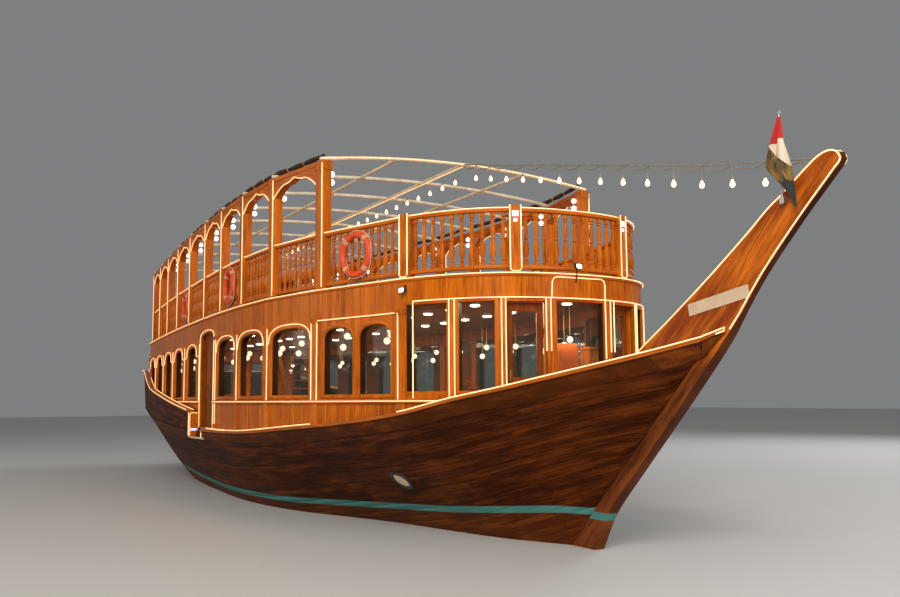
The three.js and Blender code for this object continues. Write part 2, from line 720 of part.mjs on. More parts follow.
// The starboard row, held together by a flat runner on the floor
function furniture() {
  const base = FLOOR_TOP + SEAT;
  const { aside, long, wide, leg, high, top } = TABLE;
  const middle = (x) => aside - houseHalf(x);
  const [aftX, foreX] = [TABLE.x[0], TABLE.x[TABLE.x.length - 1]];
  const row = TABLE.x.map((x) => [x, middle(x)]);
  const ends = [[aftX - BENCH.apart, middle(aftX)], [foreX + BENCH.apart, middle(foreX)]];
  const runner = [ends[0], ...row, ends[1]];
  const pieces = [strip(runner, [-RUNNER.half, RUNNER.half], () => [base, base + RUNNER.thick])];
  for (const x of TABLE.x) {
    const across = about(middle(x), wide);
    pieces.push(box(about(x, long), across, [base + high - top, base + high]));
    pieces.push(box(about(x, 2 * leg), about(middle(x), 2 * leg), [base, base + high - 5]));
    for (const end of [x - BENCH.apart, x + BENCH.apart]) {
      pieces.push(box(about(end, BENCH.deep), across, [base, base + BENCH.high]));
    }
  }
  return join(pieces);
}

// Upper deck, and the stair up to it with its guard

const STAIR = { x: [-8300, -6250], y: [650, 1550], steps: 11, board: 40 };

function upperDeck() {
  const { x, y } = STAIR;
  return cut(prism(inset(deckPlan, -40), DECK_UNDER, DECK_TOP), box(x, y, [0, SKY]));
}

function stair() {
  const foot = FLOOR_TOP + SEAT;
  const { x: [x0, x1], y: [y0, y1], steps, board } = STAIR;
  const [a, b] = [y0 + board, y1 - board];
  const rise = (DECK_TOP - foot) / steps;
  const foreX = x1 - 60;
  const headX = x0 + 200;
  const run = (foreX - headX) / (steps - 1);
  const treads = [];
  for (let i = 1; i < steps; i++) {
    const x = foreX - i * run;
    const top = foot + i * rise;
    treads.push(box([x - 20, x + run], [a + 10, b - 10], [top - 35, top]));
  }
  const head = headX - 60;
  const side = [
    [foreX, foot], [foreX, foot + 260], [head, DECK_TOP - 60], [head, DECK_TOP - 420], [foreX - 330, foot],
  ];
  const stringers = [a, b - board].map((y) => solid(plate(shape(side), y, board)));
  const landing = box([x0 + SEAT, headX + 60], [a, b], [DECK_TOP - 200, DECK_TOP - 150]);
  return join(stringers, treads, landing);
}

// A rail on posts round three sides of the stair opening
function stairGuard() {
  const { x: [x0, x1], y: [y0, y1] } = STAIR;
  const away = 60;
  const post = 50;
  const [west, east, south, north] = [x0 - away, x1 + away, y0 - away, y1 + away];
  const corners = [[west, south], [east, south], [east, north], [west, north]];
  const pieces = corners.map(([x, y]) => solid(rod(x, y, [DECK_TOP + SEAT, RAIL_TOP], post / 2, 8)));
  for (let i = 0; i < 3; i++) {
    const [from, to] = [corners[i], corners[i + 1]];
    const length = span(from, to);
    for (const z of [[RAIL_TOP - 50, RAIL_TOP], [DECK_TOP + 420, DECK_TOP + 460]]) {
      pieces.push(onWall(block([0, length], [-20, 20], z), from, to));
    }
    const middle = block([length / 2 - 20, length / 2 + 20], [-20, 20], [DECK_TOP + SEAT, RAIL_TOP - 10]);
    pieces.push(onWall(middle, from, to));
  }
  return join(pieces);
}

// Open sides of the upper deck: posts, rails, balusters, and an ogee arch from post to post under the beam.
// Round the bowed front the balustrade goes on between short newels, with nothing over it.

const POST = { along: 220, deep: 180 };
const NEWEL = { wide: 160, top: RAIL_TOP + 30 };
const HANDRAIL = { wide: 90, z: [RAIL_TOP - 60, RAIL_TOP] };
const FOOTRAIL = { wide: 70, z: [DECK_TOP + 60, DECK_TOP + 120] };
const BEAM = { wide: 170, z: [ROOF_EDGE - 80, ROOF_EDGE] };
const VALANCE = { thick: 150, spring: 5660, crown: 5925 };
const BALUSTER = { wide: 45, apart: 600 };
const upperLine = inset(deckPlan, POST.deep / 2);

// Lower edge of a valance, for a share of the bay from 0 at one post to 1 at the next
function ogee(share) {
  const a = 1 - Math.abs(2 * share - 1);
  const shoulder = 0.74 * Math.sin((Math.PI / 2) * Math.min(1, a / 0.6));
  const tip = 0.26 * Math.max(0, (a - 0.6) / 0.4) ** 1.6;
  return VALANCE.spring + (VALANCE.crown - VALANCE.spring) * (shoulder + tip);
}

// Rails and balusters along plan points
function rails(points) {
  const bar = ({ wide, z }) => strip(points, [-wide / 2, wide / 2], () => z);
  const h = BALUSTER.wide / 2;
  const balusters = points.slice(1).flatMap((to, i) => {
    const length = span(points[i], to);
    const count = Math.max(1, Math.round(length / BALUSTER.apart));
    return Array.from({ length: count }, (_, j) => {
      const u = (length * (j + 0.5)) / count;
      return onWall(block([u - h, u + h], [-h, h], [FOOTRAIL.z[1] - 5, HANDRAIL.z[0] + 5]), points[i], to);
    });
  });
  return [bar(HANDRAIL), bar(FOOTRAIL), ...balusters];
}

// Beam and arch over a bay, in straight cuts
function archway([from, to]) {
  const cuts = 10;
  const half = VALANCE.thick / 2;
  const marks = Array.from({ length: cuts + 1 }, (_, i) => {
    const t = i / cuts;
    return [from[0] + (to[0] - from[0]) * t, from[1] + (to[1] - from[1]) * t];
  });
  return [
    strip([from, to], [-BEAM.wide / 2, BEAM.wide / 2], () => BEAM.z),
    strip(marks, [-half, half], (p, i) => [ogee(i / cuts), BEAM.z[0] + 5]),
  ];
}

// A square post at a plan point between two others
function upright(before, at, after, { along, deep }, top) {
  const made = block([-along / 2, along / 2], [-deep / 2, deep / 2], [DECK_TOP + SEAT, top]);
  return solid(made.rotateZ(facing(before, after)).translate(at[0], at[1], 0));
}

function sideArcade() {
  const points = upperLine.slice(0, P0 + 1);
  const pieces = points.slice(1).flatMap((to, i) => {
    const bay = trimmed([points[i], to], 20);
    return [...archway(bay), ...rails(bay)];
  });
  points.forEach((at, i) => {
    pieces.push(upright(points[Math.max(0, i - 1)], at, points[Math.min(P0, i + 1)], POST, ROOF_EDGE));
  });
  return between(join(pieces), LAST_POST_X, FRONT_RAIL_X - SEAT);
}

// Where the balustrade of the bowed front begins, at the fore face of the foremost posts
const FRONT_RAIL_X = upperLine[P0][0] + POST.along / 2 + 2;
const NEWEL_AT = [1, 3, 6, 8];

function frontBalustrade() {
  const points = upperLine.slice(P0, P0 + 10);
  const size = { along: NEWEL.wide, deep: NEWEL.wide };
  const newels = NEWEL_AT.map((i) => upright(points[i - 1], points[i], points[i + 1], size, NEWEL.top));
  return between(join(rails(points), newels), FRONT_RAIL_X, SKY);
}

function aftBalustrade() {
  const x = LAST_POST_X + POST.deep / 2;
  const half = -upperLine[0][1] - POST.deep / 2 - 60;
  const ends = [-half, half].map((y) => box([x - 30, x + 30], [y - 30, y + 30], [DECK_TOP + SEAT, RAIL_TOP]));
  return join(rails([[x, half], [x, -half]]), ends);
}

// Roof frame: an arch over each pair of posts, with purlins along it

const ROOF = { wide: 60, deep: 60, rise: ROOF_CROWN - ROOF_EDGE - 60 };
const PURLIN = { wide: 45, y: [-1300, 0, 1300] };

function roofHeight(half, y) {
  return ROOF_EDGE + SEAT + ROOF.rise * (1 - (y / half) ** 2);
}

function roofArch(half) {
  const ys = Array.from({ length: 9 }, (_, i) => -half + (half * i) / 4);
  const lower = ys.map((y) => [y, roofHeight(half, y)]);
  const upper = ys.map((y) => [y, roofHeight(half, y) + ROOF.deep]).reverse();
  return new THREE.ExtrudeGeometry(shape([...lower, ...upper]), { depth: ROOF.wide, bevelEnabled: false });
}

function roofFrame() {
  const ends = upperLine.slice(0, P0 + 1).map(([x, y]) => ({ x, half: -y + POST.deep / 2 }));
  const arches = ends.map(({ x, half }) => {
    const arch = roofArch(half).rotateX(Math.PI / 2).rotateZ(Math.PI / 2);
    return solid(arch.translate(x - ROOF.wide / 2, 0, 0));
  });
  const h = PURLIN.wide / 2;
  const purlins = PURLIN.y.map((y) => loft(ends.map(({ x, half }) => {
    const z = roofHeight(half, y) + ROOF.deep / 2;
    return [[x, y - h, z - h], [x, y - h, z + h], [x, y + h, z + h], [x, y + h, z - h]];
  })));
  return join(arches, purlins);
}

// Wire that carries the lights from the roof to the prow
const WIRE = [
  // x, z
  [4480, 6270],
  [5790, 5980],
  [8540, 5370],
  [10560, 4910],
  [12245, 4610],
];

function festoonWire() {
  const h = 6;
  const whole = loft(WIRE.map(([x, z]) => [[x, -h, z - h], [x, -h, z + h], [x, h, z + h], [x, h, z - h]]));
  return between(whole, upperLine[P0][0] + ROOF.wide / 2 + SEAT, 12238);
}

// Fittings

const BUOY = { outer: 375, r: 55, z: 4360 };
const BUOY_X = [5400, 400, -4330];

// A lifebuoy hung outside the balusters at x
function lifebuoy(x) {
  const i = upperLine.findIndex(([px]) => px >= x);
  const [from, to] = [upperLine[i - 1], upperLine[i]];
  const u = ((x - from[0]) / (to[0] - from[0])) * span(from, to);
  const { outer, r, z } = BUOY;
  const ring = [];
  for (let k = 0; k <= 6; k++) {
    const a = Math.PI / 2 + (k * Math.PI) / 3;
    ring.push(new THREE.Vector2(outer - r + r * Math.cos(a), r * Math.sin(a)));
  }
  const y = -(BALUSTER.wide / 2 + SEAT + r);
  return onWall(new THREE.LatheGeometry(ring, 14).translate(u, y, z), from, to);
}

// The flag's staff in its bracket beside the prow's head
const STAFF = { x: 11850, y: -83, r: 13, z: [4180, 5210] };

function flagStaff() {
  const { x, y, r, z } = STAFF;
  const bracket = box([x - 30, x + 30], [y - 12, -(PROW.half + SEAT)], [4190, 4260]);
  const truck = new THREE.SphereGeometry(28, 8, 4).translate(x, y, z[1]);
  return join(solid(rod(x, y, z, r)), bracket, solid(truck));
}

// The flag where it hangs down beside its staff
function flag() {
  const thick = 36;
  const outline = [
    [12040, 4090],
    [12110, 4090],
    [12060, 4480],
    [11990, 4740],
    [11930, 5150],
    [11865, 5150],
    [11730, 4760],
    [11690, 4590],
    [11900, 4390],
  ];
  return solid(plate(shape(outline), STAFF.y - STAFF.r - SEAT - thick, thick));
}

// The helm stands in the starboard fore corner of the saloon, with its wheel on the after side
function helmConsole() {
  const [x, y] = [6620, -1150];
  const [floor, top] = [FLOOR_TOP + SEAT, FLOOR_TOP + 1000];
  const side = [[x, floor], [x + 330, floor], [x + 330, top], [x + 140, top], [x, top - 120]];
  const [hubX, hubZ] = [x - 110, FLOOR_TOP + 820];
  const section = [[310, -12], [330, -12], [330, 12], [310, 12], [310, -12]];
  const rim = section.map(([r, h]) => new THREE.Vector2(r, h));
  const spokes = [0, 1, 2].map((i) => {
    const bar = new THREE.BoxGeometry(16, 630, 26).rotateX((i * Math.PI) / 3);
    return solid(bar.translate(hubX, y, hubZ));
  });
  return join(
    solid(plate(shape(side), y - 300, 600)),
    solid(new THREE.LatheGeometry(rim, 20).rotateZ(Math.PI / 2).translate(hubX, y, hubZ)),
    spokes,
    shaft([hubX - 15, x + 20], y, hubZ, 35),
  );
}

// A long bench inside the starboard arcade
function deckBench() {
  const [aftX, foreX] = [-5500, 2700];
  const xs = [aftX, ...POST_X.filter((x) => x > aftX && x < foreX).reverse(), foreX];
  const back = xs.map((x) => [x, -houseHalf(x) + POST.deep + 40]);
  const z = DECK_TOP + SEAT;
  return join(
    strip(back, [0, 60], () => [z, z + 860]),
    strip(back, [0, 470], () => [z + 390, z + 450]),
    strip(back, [380, 430], () => [z, z + 400]),
  );
}

// A pair of mooring posts on one foot, with a bar through them
function bitts(x, y, floor) {
  const z = floor + SEAT;
  const reach = 170;
  const posts = [y - reach, y + reach].map((v) => solid(rod(x, v, [z, z + 480], 65)));
  const foot = box([x - 90, x + 90], [y - reach - 90, y + reach + 90], [z, z + 30]);
  const bar = box([x - 28, x + 28], [y - reach - 130, y + reach + 130], [z + 300, z + 356]);
  return join(posts, foot, bar);
}

// Materials: colour, roughness, metalness

const FINISH = {
  hull_varnish: ['#3d1a10', 0.35, 0],
  house_varnish: ['#8a4a22', 0.4, 0],
  prow_varnish: ['#9c5526', 0.4, 0],
  deck_wood: ['#a9794a', 0.6, 0],
  saloon_glass: ['#33443c', 0.1, 0],
  frame_paint: ['#cfc4ab', 0.5, 0],
  steel: ['#a8aaac', 0.35, 1],
  bronze: ['#8f6a35', 0.4, 1],
  engine_paint: ['#4d5a55', 0.5, 0.2],
  buoy_orange: ['#d8481f', 0.55, 0],
  board_cream: ['#e2d6bd', 0.6, 0],
  flag_cloth: ['#b01f26', 0.9, 0],
  seat_paint: ['#e6dfd2', 0.5, 0],
};

function finish(name) {
  const [color, roughness, metalness] = FINISH[name];
  return new THREE.MeshStandardMaterial({ color, roughness, metalness, name });
}

// A mesh of a solid, or of its mirror image across the centreline
function mesh(name, slot, body, mirrored = false) {
  const { vertProperties, triVerts } = body.getMesh();
  const positions = Float32Array.from(vertProperties);
  const faces = Uint32Array.from(triVerts);
  if (mirrored) {
    for (let i = 1; i < positions.length; i += 3) positions[i] *= -1;
    for (let i = 0; i < faces.length; i += 3) [faces[i], faces[i + 1]] = [faces[i + 1], faces[i]];
  }
  const geometry = new THREE.BufferGeometry();
  geometry.setAttribute('position', new THREE.BufferAttribute(positions, 3));
  geometry.setIndex(new THREE.BufferAttribute(faces, 1));
  geometry.computeVertexNormals();
  const made = new THREE.Mesh(geometry, finish(slot));
  made.name = name;
  return made;
}

const boat = new THREE.Group();
boat.name = 'passenger_dhow';

const single = (name, slot, body) => boat.add(mesh(name, slot, body));
const pair = (name, slot, body, suffix = '') => {
  boat.add(mesh(`${name}_starboard${suffix}`, slot, body));
  boat.add(mesh(`${name}_port${suffix}`, slot, body, true));
};

const planked = hull();
single('hull', 'hull_varnish', lowerHull(planked));
single('topsides', 'hull_varnish', topsides(planked));
single('keel', 'hull_varnish', keel());
single('stem_post', 'prow_varnish', stemPost());
single('prow_fin', 'prow_varnish', prowFin());
pair('name_board', 'board_cream', nameBoard());
single('rudder', 'hull_varnish', rudder());
single('propeller', 'bronze', propeller());
single('engine_block', 'engine_paint', box(ENGINE.x, ENGINE.y, ENGINE.z));
single('bulwark_stern', 'hull_varnish', bulwark());
single('cap_rail_stern', 'house_varnish', sternCap());
pair('cap_rail', 'house_varnish', sideCap());

const GLASS_Z = [2100, 3450];
const FRONT_GLASS_Z = [2130, 3560];
pair('house_wall', 'house_varnish', sideWall());
single('house_wall_front', 'house_varnish', frontWall());
single('house_wall_aft', 'house_varnish', aftWall());
pair('side_glass', 'saloon_glass', glassStrip(P0 - DOOR_BAY, P0, GLASS_Z, 30), '_fore');
pair('side_glass', 'saloon_glass', glassStrip(0, P0 - DOOR_BAY - 1, GLASS_Z, 70), '_aft');
pair('front_glass', 'saloon_glass', glassStrip(P0, P0 + 3, FRONT_GLASS_Z, 50));
single('front_glass_centre', 'saloon_glass', glassStrip(P0 + 4, P0 + 5, FRONT_GLASS_Z, 50));
pair('aft_glass', 'saloon_glass', aftGlass());
single('saloon_floor', 'deck_wood', saloonFloor());
pair('saloon_tables', 'deck_wood', furniture());
single('stair', 'deck_wood', stair());

pair('saloon_door', 'house_varnish', saloonDoor());
pair('front_door', 'house_varnish', squareDoor(frontDoorFrame(0)));
single('aft_door', 'house_varnish', squareDoor(aftDoorFrame()));

single('upper_deck', 'deck_wood', upperDeck());
pair('arcade', 'house_varnish', sideArcade());
single('balustrade_front', 'house_varnish', frontBalustrade());
single('balustrade_aft', 'house_varnish', aftBalustrade());
single('roof_frame', 'frame_paint', roofFrame());
single('stair_guard', 'house_varnish', stairGuard());
single('helm_console', 'house_varnish', helmConsole());
pair('deck_bench', 'seat_paint', deckBench());
single('festoon_wire', 'steel', festoonWire());
BUOY_X.forEach((x, i) => pair('lifebuoy', 'buoy_orange', lifebuoy(x), `_${i + 1}`));
single('bow_bitts', 'house_varnish', bitts(8640, 0, FOREDECK));
single('stern_bitts', 'house_varnish', bitts(-12050, -1300, AFTERDECK));
single('flag_staff', 'steel', flagStaff());
single('flag', 'flag_cloth', flag());

export default boat;
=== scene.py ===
# %% [markdown]
# A wooden two-deck passenger dhow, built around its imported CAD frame. The hull inside, the house
# walls, the decks, the doors and the small fittings stay as the frame has them. What the eye
# lands on, such as planking, boarding, turned balusters, arches and lights, is new geometry.
# All of it is in metres in the frame's own axes, so nothing has to be fitted.

# %% Load the frame
import math

import bmesh
import bpy
import numpy as np
from mathutils import Matrix, Vector


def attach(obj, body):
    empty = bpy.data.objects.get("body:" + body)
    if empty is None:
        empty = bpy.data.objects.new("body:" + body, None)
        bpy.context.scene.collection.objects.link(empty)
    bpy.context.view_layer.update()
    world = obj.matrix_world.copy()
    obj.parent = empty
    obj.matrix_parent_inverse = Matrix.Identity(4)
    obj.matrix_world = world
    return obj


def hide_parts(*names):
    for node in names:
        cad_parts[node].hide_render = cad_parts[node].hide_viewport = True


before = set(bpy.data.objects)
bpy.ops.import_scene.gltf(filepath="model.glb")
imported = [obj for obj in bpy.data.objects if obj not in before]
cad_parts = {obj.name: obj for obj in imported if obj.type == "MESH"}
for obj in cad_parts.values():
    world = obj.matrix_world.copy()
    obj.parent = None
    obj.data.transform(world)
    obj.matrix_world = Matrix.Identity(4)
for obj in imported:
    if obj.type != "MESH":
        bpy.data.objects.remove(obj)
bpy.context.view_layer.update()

# %% [markdown]
# The photograph was taken from low over the water off the starboard bow. A camera could be turned
# by eye until things line up, but here the posts, rails and the waterline fixed its place, turn
# and focal length, so its three axes are worked out from those angles.

# %% Camera
EYE = Vector((19.156, -8.158, 2.095))
YAW, PITCH, ROLL = (math.radians(a) for a in (28.267, 5.994, -0.438))
FOCAL_PX, PHOTO_WIDE, SENSOR = 950.6, 900, 36.0


def camera_axes():
    """Right, up and forward: aft, turned by the yaw and raised by the pitch, and all rolled about it."""
    level = Vector((-math.cos(YAW), math.sin(YAW), 0))
    right = Vector((math.sin(YAW), math.cos(YAW), 0))
    up = Vector((0, 0, 1))
    forward = level * math.cos(PITCH) + up * math.sin(PITCH)
    over = up * math.cos(PITCH) - level * math.sin(PITCH)
    return (right * math.cos(ROLL) + over * math.sin(ROLL),
            over * math.cos(ROLL) - right * math.sin(ROLL), forward)


right, over, forward = camera_axes()
camera = bpy.data.objects.new("camera", bpy.data.cameras.new("camera"))
bpy.context.collection.objects.link(camera)
camera.matrix_world = Matrix((
    (right.x, over.x, -forward.x, EYE.x),
    (right.y, over.y, -forward.y, EYE.y),
    (right.z, over.z, -forward.z, EYE.z),
    (0, 0, 0, 1)))
camera.data.sensor_width = SENSOR
camera.data.lens = SENSOR * FOCAL_PX / PHOTO_WIDE
camera.data.clip_end = 500
bpy.context.scene.camera = camera
bpy.context.scene.view_settings.view_transform = "Standard"
print("lens", round(camera.data.lens, 2))

# %% [markdown]
# Shader maths reads best as plain expressions. One class wraps a socket and overloads the
# operators that are used, and one method adds any other node: its settings first, then the
# values or links of its sockets.

# %% Shader helpers


def wire(tree, item, socket):
    if isinstance(item, Value):
        tree.links.new(item.socket, socket)
    elif hasattr(item, "__len__") and len(item) == 3 and socket.type == "RGBA":
        socket.default_value = (*item, 1)
    else:
        socket.default_value = item


class Value:
    """A socket whose sums, products and powers add Math nodes."""

    def __init__(self, tree, socket):
        self.tree, self.socket = tree, socket

    def math(self, operation, *items):
        node = self.tree.nodes.new("ShaderNodeMath")
        node.operation = operation
        for socket, item in zip(node.inputs, items):
            wire(self.tree, item, socket)
        return Value(self.tree, node.outputs[0])

    def __add__(self, other):
        return self.math("ADD", self, other)

    def __sub__(self, other):
        return self.math("SUBTRACT", self, other)

    def __mul__(self, other):
        return self.math("MULTIPLY", self, other)

    def __truediv__(self, other):
        return self.math("DIVIDE", self, other)

    def __rsub__(self, other):
        return self.math("SUBTRACT", other, self)

    __radd__, __rmul__ = __add__, __mul__

    def floor(self):
        return self.math("FLOOR", self)

    def fract(self):
        return self.math("FRACT", self)

    def size(self):
        return self.math("ABSOLUTE", self)

    def below(self, other):
        return self.math("LESS_THAN", self, other)

    def ramp(self, low, high):
        """0 at low and less, 1 at high and more, smooth between."""
        node = self.tree.nodes.new("ShaderNodeMapRange")
        node.interpolation_type = "SMOOTHSTEP"
        for socket, item in zip(node.inputs, (self, low, high, 0.0, 1.0)):
            wire(self.tree, item, socket)
        return Value(self.tree, node.outputs[0])


class Finish:
    """A material in the making."""

    def __init__(self, name):
        self.material = bpy.data.materials.new(name)
        self.material.use_nodes = True
        self.tree = self.material.node_tree
        self.tree.nodes.clear()

    def node(self, kind, inputs=(), out=0, **settings):
        made = self.tree.nodes.new("ShaderNode" + kind)
        for key, value in settings.items():
            setattr(made, key, value)
        for key, value in dict(inputs).items():
            wire(self.tree, value, made.inputs[key])
        return Value(self.tree, made.outputs[out]) if made.outputs else None

    def noise(self, vector, scale, detail=4.0, rough=0.55):
        return self.node("TexNoise", {"Vector": vector, "Scale": scale, "Detail": detail, "Roughness": rough})

    def mix(self, factor, a, b):
        return self.node("Mix", {0: factor, 6: a, 7: b}, out=2, data_type="RGBA")

    def xyz(self, x, y, z):
        return self.node("CombineXYZ", {0: x, 1: y, 2: z})

    def parts(self, vector):
        node = self.tree.nodes.new("ShaderNodeSeparateXYZ")
        wire(self.tree, vector, node.inputs[0])
        return [Value(self.tree, socket) for socket in node.outputs]

    def uv(self):
        return self.node("UVMap", uv_map="UVMap")

    def place(self):
        return self.node("TexCoord", out=3)

    def mark(self, name):
        return self.node("Attribute", out=2, attribute_name=name)

    def bump(self, height, distance, strength=1.0):
        return self.node("Bump", {"Height": height, "Distance": distance, "Strength": strength})

    def surface(self, **sockets):
        shader = self.node("BsdfPrincipled", {k.replace("_", " "): v for k, v in sockets.items()})
        self.node("OutputMaterial", {"Surface": shader})
        return self.material

# %% [markdown]
# The scene is a plain pale floor at the height of the water, soft light from large lamps above
# both sides, and a pale sky. The floor hides the underwater hull, as the water does.

# %% Floor and lights
FLOOR_SIZE = 240.0


def aim(obj, target):
    obj.rotation_euler = (Vector(target) - obj.location).to_track_quat("-Z", "Y").to_euler()


def lamp(name, place, target, size, power, colour=(1, 1, 1)):
    light = bpy.data.objects.new(name, bpy.data.lights.new(name, "AREA"))
    bpy.context.collection.objects.link(light)
    light.location = place
    light.data.size = size
    light.data.energy = power
    light.data.color = colour
    aim(light, target)


def plain_floor():
    half = FLOOR_SIZE / 2
    data = bpy.data.meshes.new("floor")
    corners = [(-half, -half, 0), (half, -half, 0), (half, half, 0), (-half, half, 0)]
    data.from_pydata(corners, [], [(0, 1, 2, 3)])
    floor = bpy.data.objects.new("floor", data)
    bpy.context.collection.objects.link(floor)
    pale = Finish("floor_pale")
    data.materials.append(pale.surface(Base_Color=(0.62, 0.62, 0.61), Roughness=0.7))


plain_floor()
lamp("key_light", (28, -18, 16), (2, 0, 2), 14, 7000, (1, 0.93, 0.84))
lamp("fill_light", (-16, -28, 12), (-3, 0, 3), 16, 1500, (1, 0.92, 0.82))
lamp("bow_light", (34, 6, 12), (6, 0, 3), 12, 2300, (1, 0.95, 0.9))
lamp("port_light", (-4, 30, 18), (0, 0, 3), 16, 3400, (1, 1, 1))
for x in (-9.0, -5.0, -1.0, 3.0, 6.2):
    lamp(f"saloon_light_{x:.0f}", (x, 0, 3.62), (x, 0, 1.2), 1.6, 130, (1, 0.84, 0.62))
for x in (-8.0, -4.0, 0.0, 3.6):
    lamp(f"deck_light_{x:.0f}", (x, 0, 5.85), (x, 0, 3.9), 1.2, 60, (1, 0.72, 0.42))
lamp("helm_light", (6.6, 1.1, 3.60), (6.2, 1.5, 2.4), 0.5, 34, (1, 0.92, 0.72))
world = bpy.data.worlds.new("sky")
bpy.context.scene.world = world
world.use_nodes = True
world.node_tree.nodes["Background"].inputs[0].default_value = (0.84, 0.85, 0.86, 1)
world.node_tree.nodes["Background"].inputs[1].default_value = 0.25

# %% [markdown]
# The boat is nearly all varnished wood, so one recipe makes its woods. Grain is noise drawn out
# along the fibres, with slower clouds for the varnish and a tone of its own for each board. It
# could read an image, but computed grain has no edge or repeat and works at any distance. New
# pieces carry grain direction in their UV map; the frame's nodes use one of their own axes.

# %% Wood
BOARD_WIDE = 0.115


def wood(name, dark, light, axis="uv", pitch=0.0, gloss=0.32, seam_dark=0.45, clouds=0.3, spread=0.10):
    """Grain is noise on (1.3 along, 16 across, 16 across); its colour runs from dark to light."""
    f = Finish(name)
    if axis == "uv":
        along, across, _ = f.parts(f.uv())
        third = f.mark("tone") * 7.3
    else:
        x, y, z = f.parts(f.place())
        along, across, third = {"x": (x, y, z), "y": (y, x, z), "z": (z, x, y)}[axis]
    tone = f.mark("tone")
    if pitch:
        board = (across / pitch).floor()
        tone = f.node("TexWhiteNoise", {"W": board}, noise_dimensions="1D")
        edge = ((across / pitch).fract() - 0.5).size().ramp(0.46, 0.5)
    grain = f.noise(f.xyz(along * 1.3 + tone * 9.0, across * 16.0, third * 16.0), 1.6, 6.0, 0.62)
    pores = f.noise(f.xyz(along * 9.0, across * 160.0, third * 160.0), 1.0, 3.0)
    cloud = f.noise(f.xyz(along, across, third), 0.8, 3.0)
    shade = grain * 1.1 + (tone - 0.5) * spread + (cloud - 0.5) * (2.0 * clouds) + (pores - 0.5) * 0.25
    colour = f.mix(shade.ramp(0.18, 0.9), dark, light)
    height = grain * 0.6 + pores * 0.25
    if pitch:
        colour = f.mix(edge * seam_dark, colour, (0.012, 0.006, 0.003))
        height = height - edge * 1.5
    return f.surface(Base_Color=colour, Roughness=gloss + (cloud - 0.5) * 0.25, Specular_IOR_Level=0.07,
                     Coat_Weight=0.03, Coat_Roughness=0.18, Normal=f.bump(height, 0.002, 0.5))


HOUSE_DARK, HOUSE_LIGHT = (0.29, 0.052, 0.002), (0.70, 0.180, 0.009)
HOUSE = wood("house_varnish", HOUSE_DARK, HOUSE_LIGHT)
RAIL = wood("rail_varnish", (0.20, 0.038, 0.003), (0.56, 0.15, 0.014), gloss=0.3)
DOOR_WOOD = wood("door_varnish", (0.11, 0.022, 0.003), (0.33, 0.078, 0.010), axis="z")
DOOR_PANEL = wood("door_panel_varnish", (0.13, 0.026, 0.003), (0.38, 0.092, 0.011))
# Near-black lining of the window reveals: painted shade for their depth.
LINING_SHADE = wood("lining_painted_shade", (0.012, 0.006, 0.003), (0.060, 0.024, 0.009))
HOUSE_CAD = wood("house_frame", HOUSE_DARK, HOUSE_LIGHT, axis="z", pitch=0.12)
DARK_CAD = wood("timber_dark", (0.025, 0.007, 0.003), (0.10, 0.026, 0.008), axis="x")
DECK = wood("deck_planks", (0.20, 0.085, 0.028), (0.44, 0.22, 0.085), axis="x", pitch=0.11, gloss=0.5,
            seam_dark=0.8)
FURNITURE = wood("saloon_joinery", (0.14, 0.035, 0.006), (0.40, 0.13, 0.025), axis="y")

# %% [markdown]
# The hull's finish is its own recipe: dark varnished strakes with butt joints, a teal band that
# marks the waterline, and a lighter brown under it. The band follows a number kept at each point,
# its height above the band's middle, so its edges stay sharp however coarse the mesh is.

# %% Hull finish
BAND_HALF = 0.052
TEAL, TEAL_WORN = (0.070, 0.235, 0.215), (0.085, 0.280, 0.255)
HULL_DARK, HULL_LIGHT = (0.036, 0.0072, 0.0012), (0.205, 0.045, 0.006)
PROW_DARK, PROW_LIGHT = (0.26, 0.042, 0.003), (0.74, 0.185, 0.012)


def hull_finish(name, dark, light, low_dark, low_light, plank=2.6):
    """Strake is the floor of v; butts lie every plank metres, staggered by the strake's own random share."""
    f = Finish(name)
    along, strake, _ = f.parts(f.uv())
    above = f.mark("above")
    row = strake.floor()
    chance = f.node("TexWhiteNoise", {"W": row}, noise_dimensions="1D")
    place = along / plank + chance
    tone = f.node("TexWhiteNoise", {"Vector": f.xyz(row, place.floor(), 0.0)}, noise_dimensions="3D")
    butt = (place.fract() - 0.5).size().ramp(0.4965, 0.4995)
    seam = (strake.fract() - 0.5).size().ramp(0.455, 0.5)
    grain = f.noise(f.xyz(along * 1.1 + tone * 13.0, strake * 3.4, tone * 5.0), 2.2, 7.0, 0.65)
    worn = f.noise(f.xyz(along * 0.9, strake * 0.55, 3.0), 1.5, 5.0, 0.6)
    scuffs = f.noise(f.xyz(along * 3.0, strake * 2.0, 8.0), 3.0, 8.0, 0.72)
    streaks = f.noise(f.xyz(along * 0.55, strake * 0.9, 12.0), 2.4, 6.0, 0.7)
    shade = grain * 0.8 + (tone - 0.5) * 0.20 + (worn - 0.5) * 1.1 + (streaks - 0.5) * 1.0
    upper = f.mix(shade.ramp(0.2, 0.95), dark, light)
    upper = f.mix(scuffs.ramp(0.58, 0.76) * 0.40, upper, (0.30, 0.085, 0.018))
    lower = f.mix(shade.ramp(0.2, 0.95), low_dark, low_light)
    painted = above.size().below(BAND_HALF)
    colour = f.mix(above.below(0.0), upper, lower)
    colour = f.mix(painted, colour, f.mix(worn.ramp(0.3, 0.7), TEAL, TEAL_WORN))
    gap = seam.math("MAXIMUM", seam, butt)
    colour = f.mix(gap * (0.42 - painted * 0.3), colour, (0.007, 0.003, 0.002))
    height = grain * 0.5 + worn * 1.6 - gap * 2.0
    return f.surface(Base_Color=colour, Roughness=0.42 + worn * 0.2 + painted * 0.1, Specular_IOR_Level=0.05,
                     Normal=f.bump(height, 0.004, 0.6))


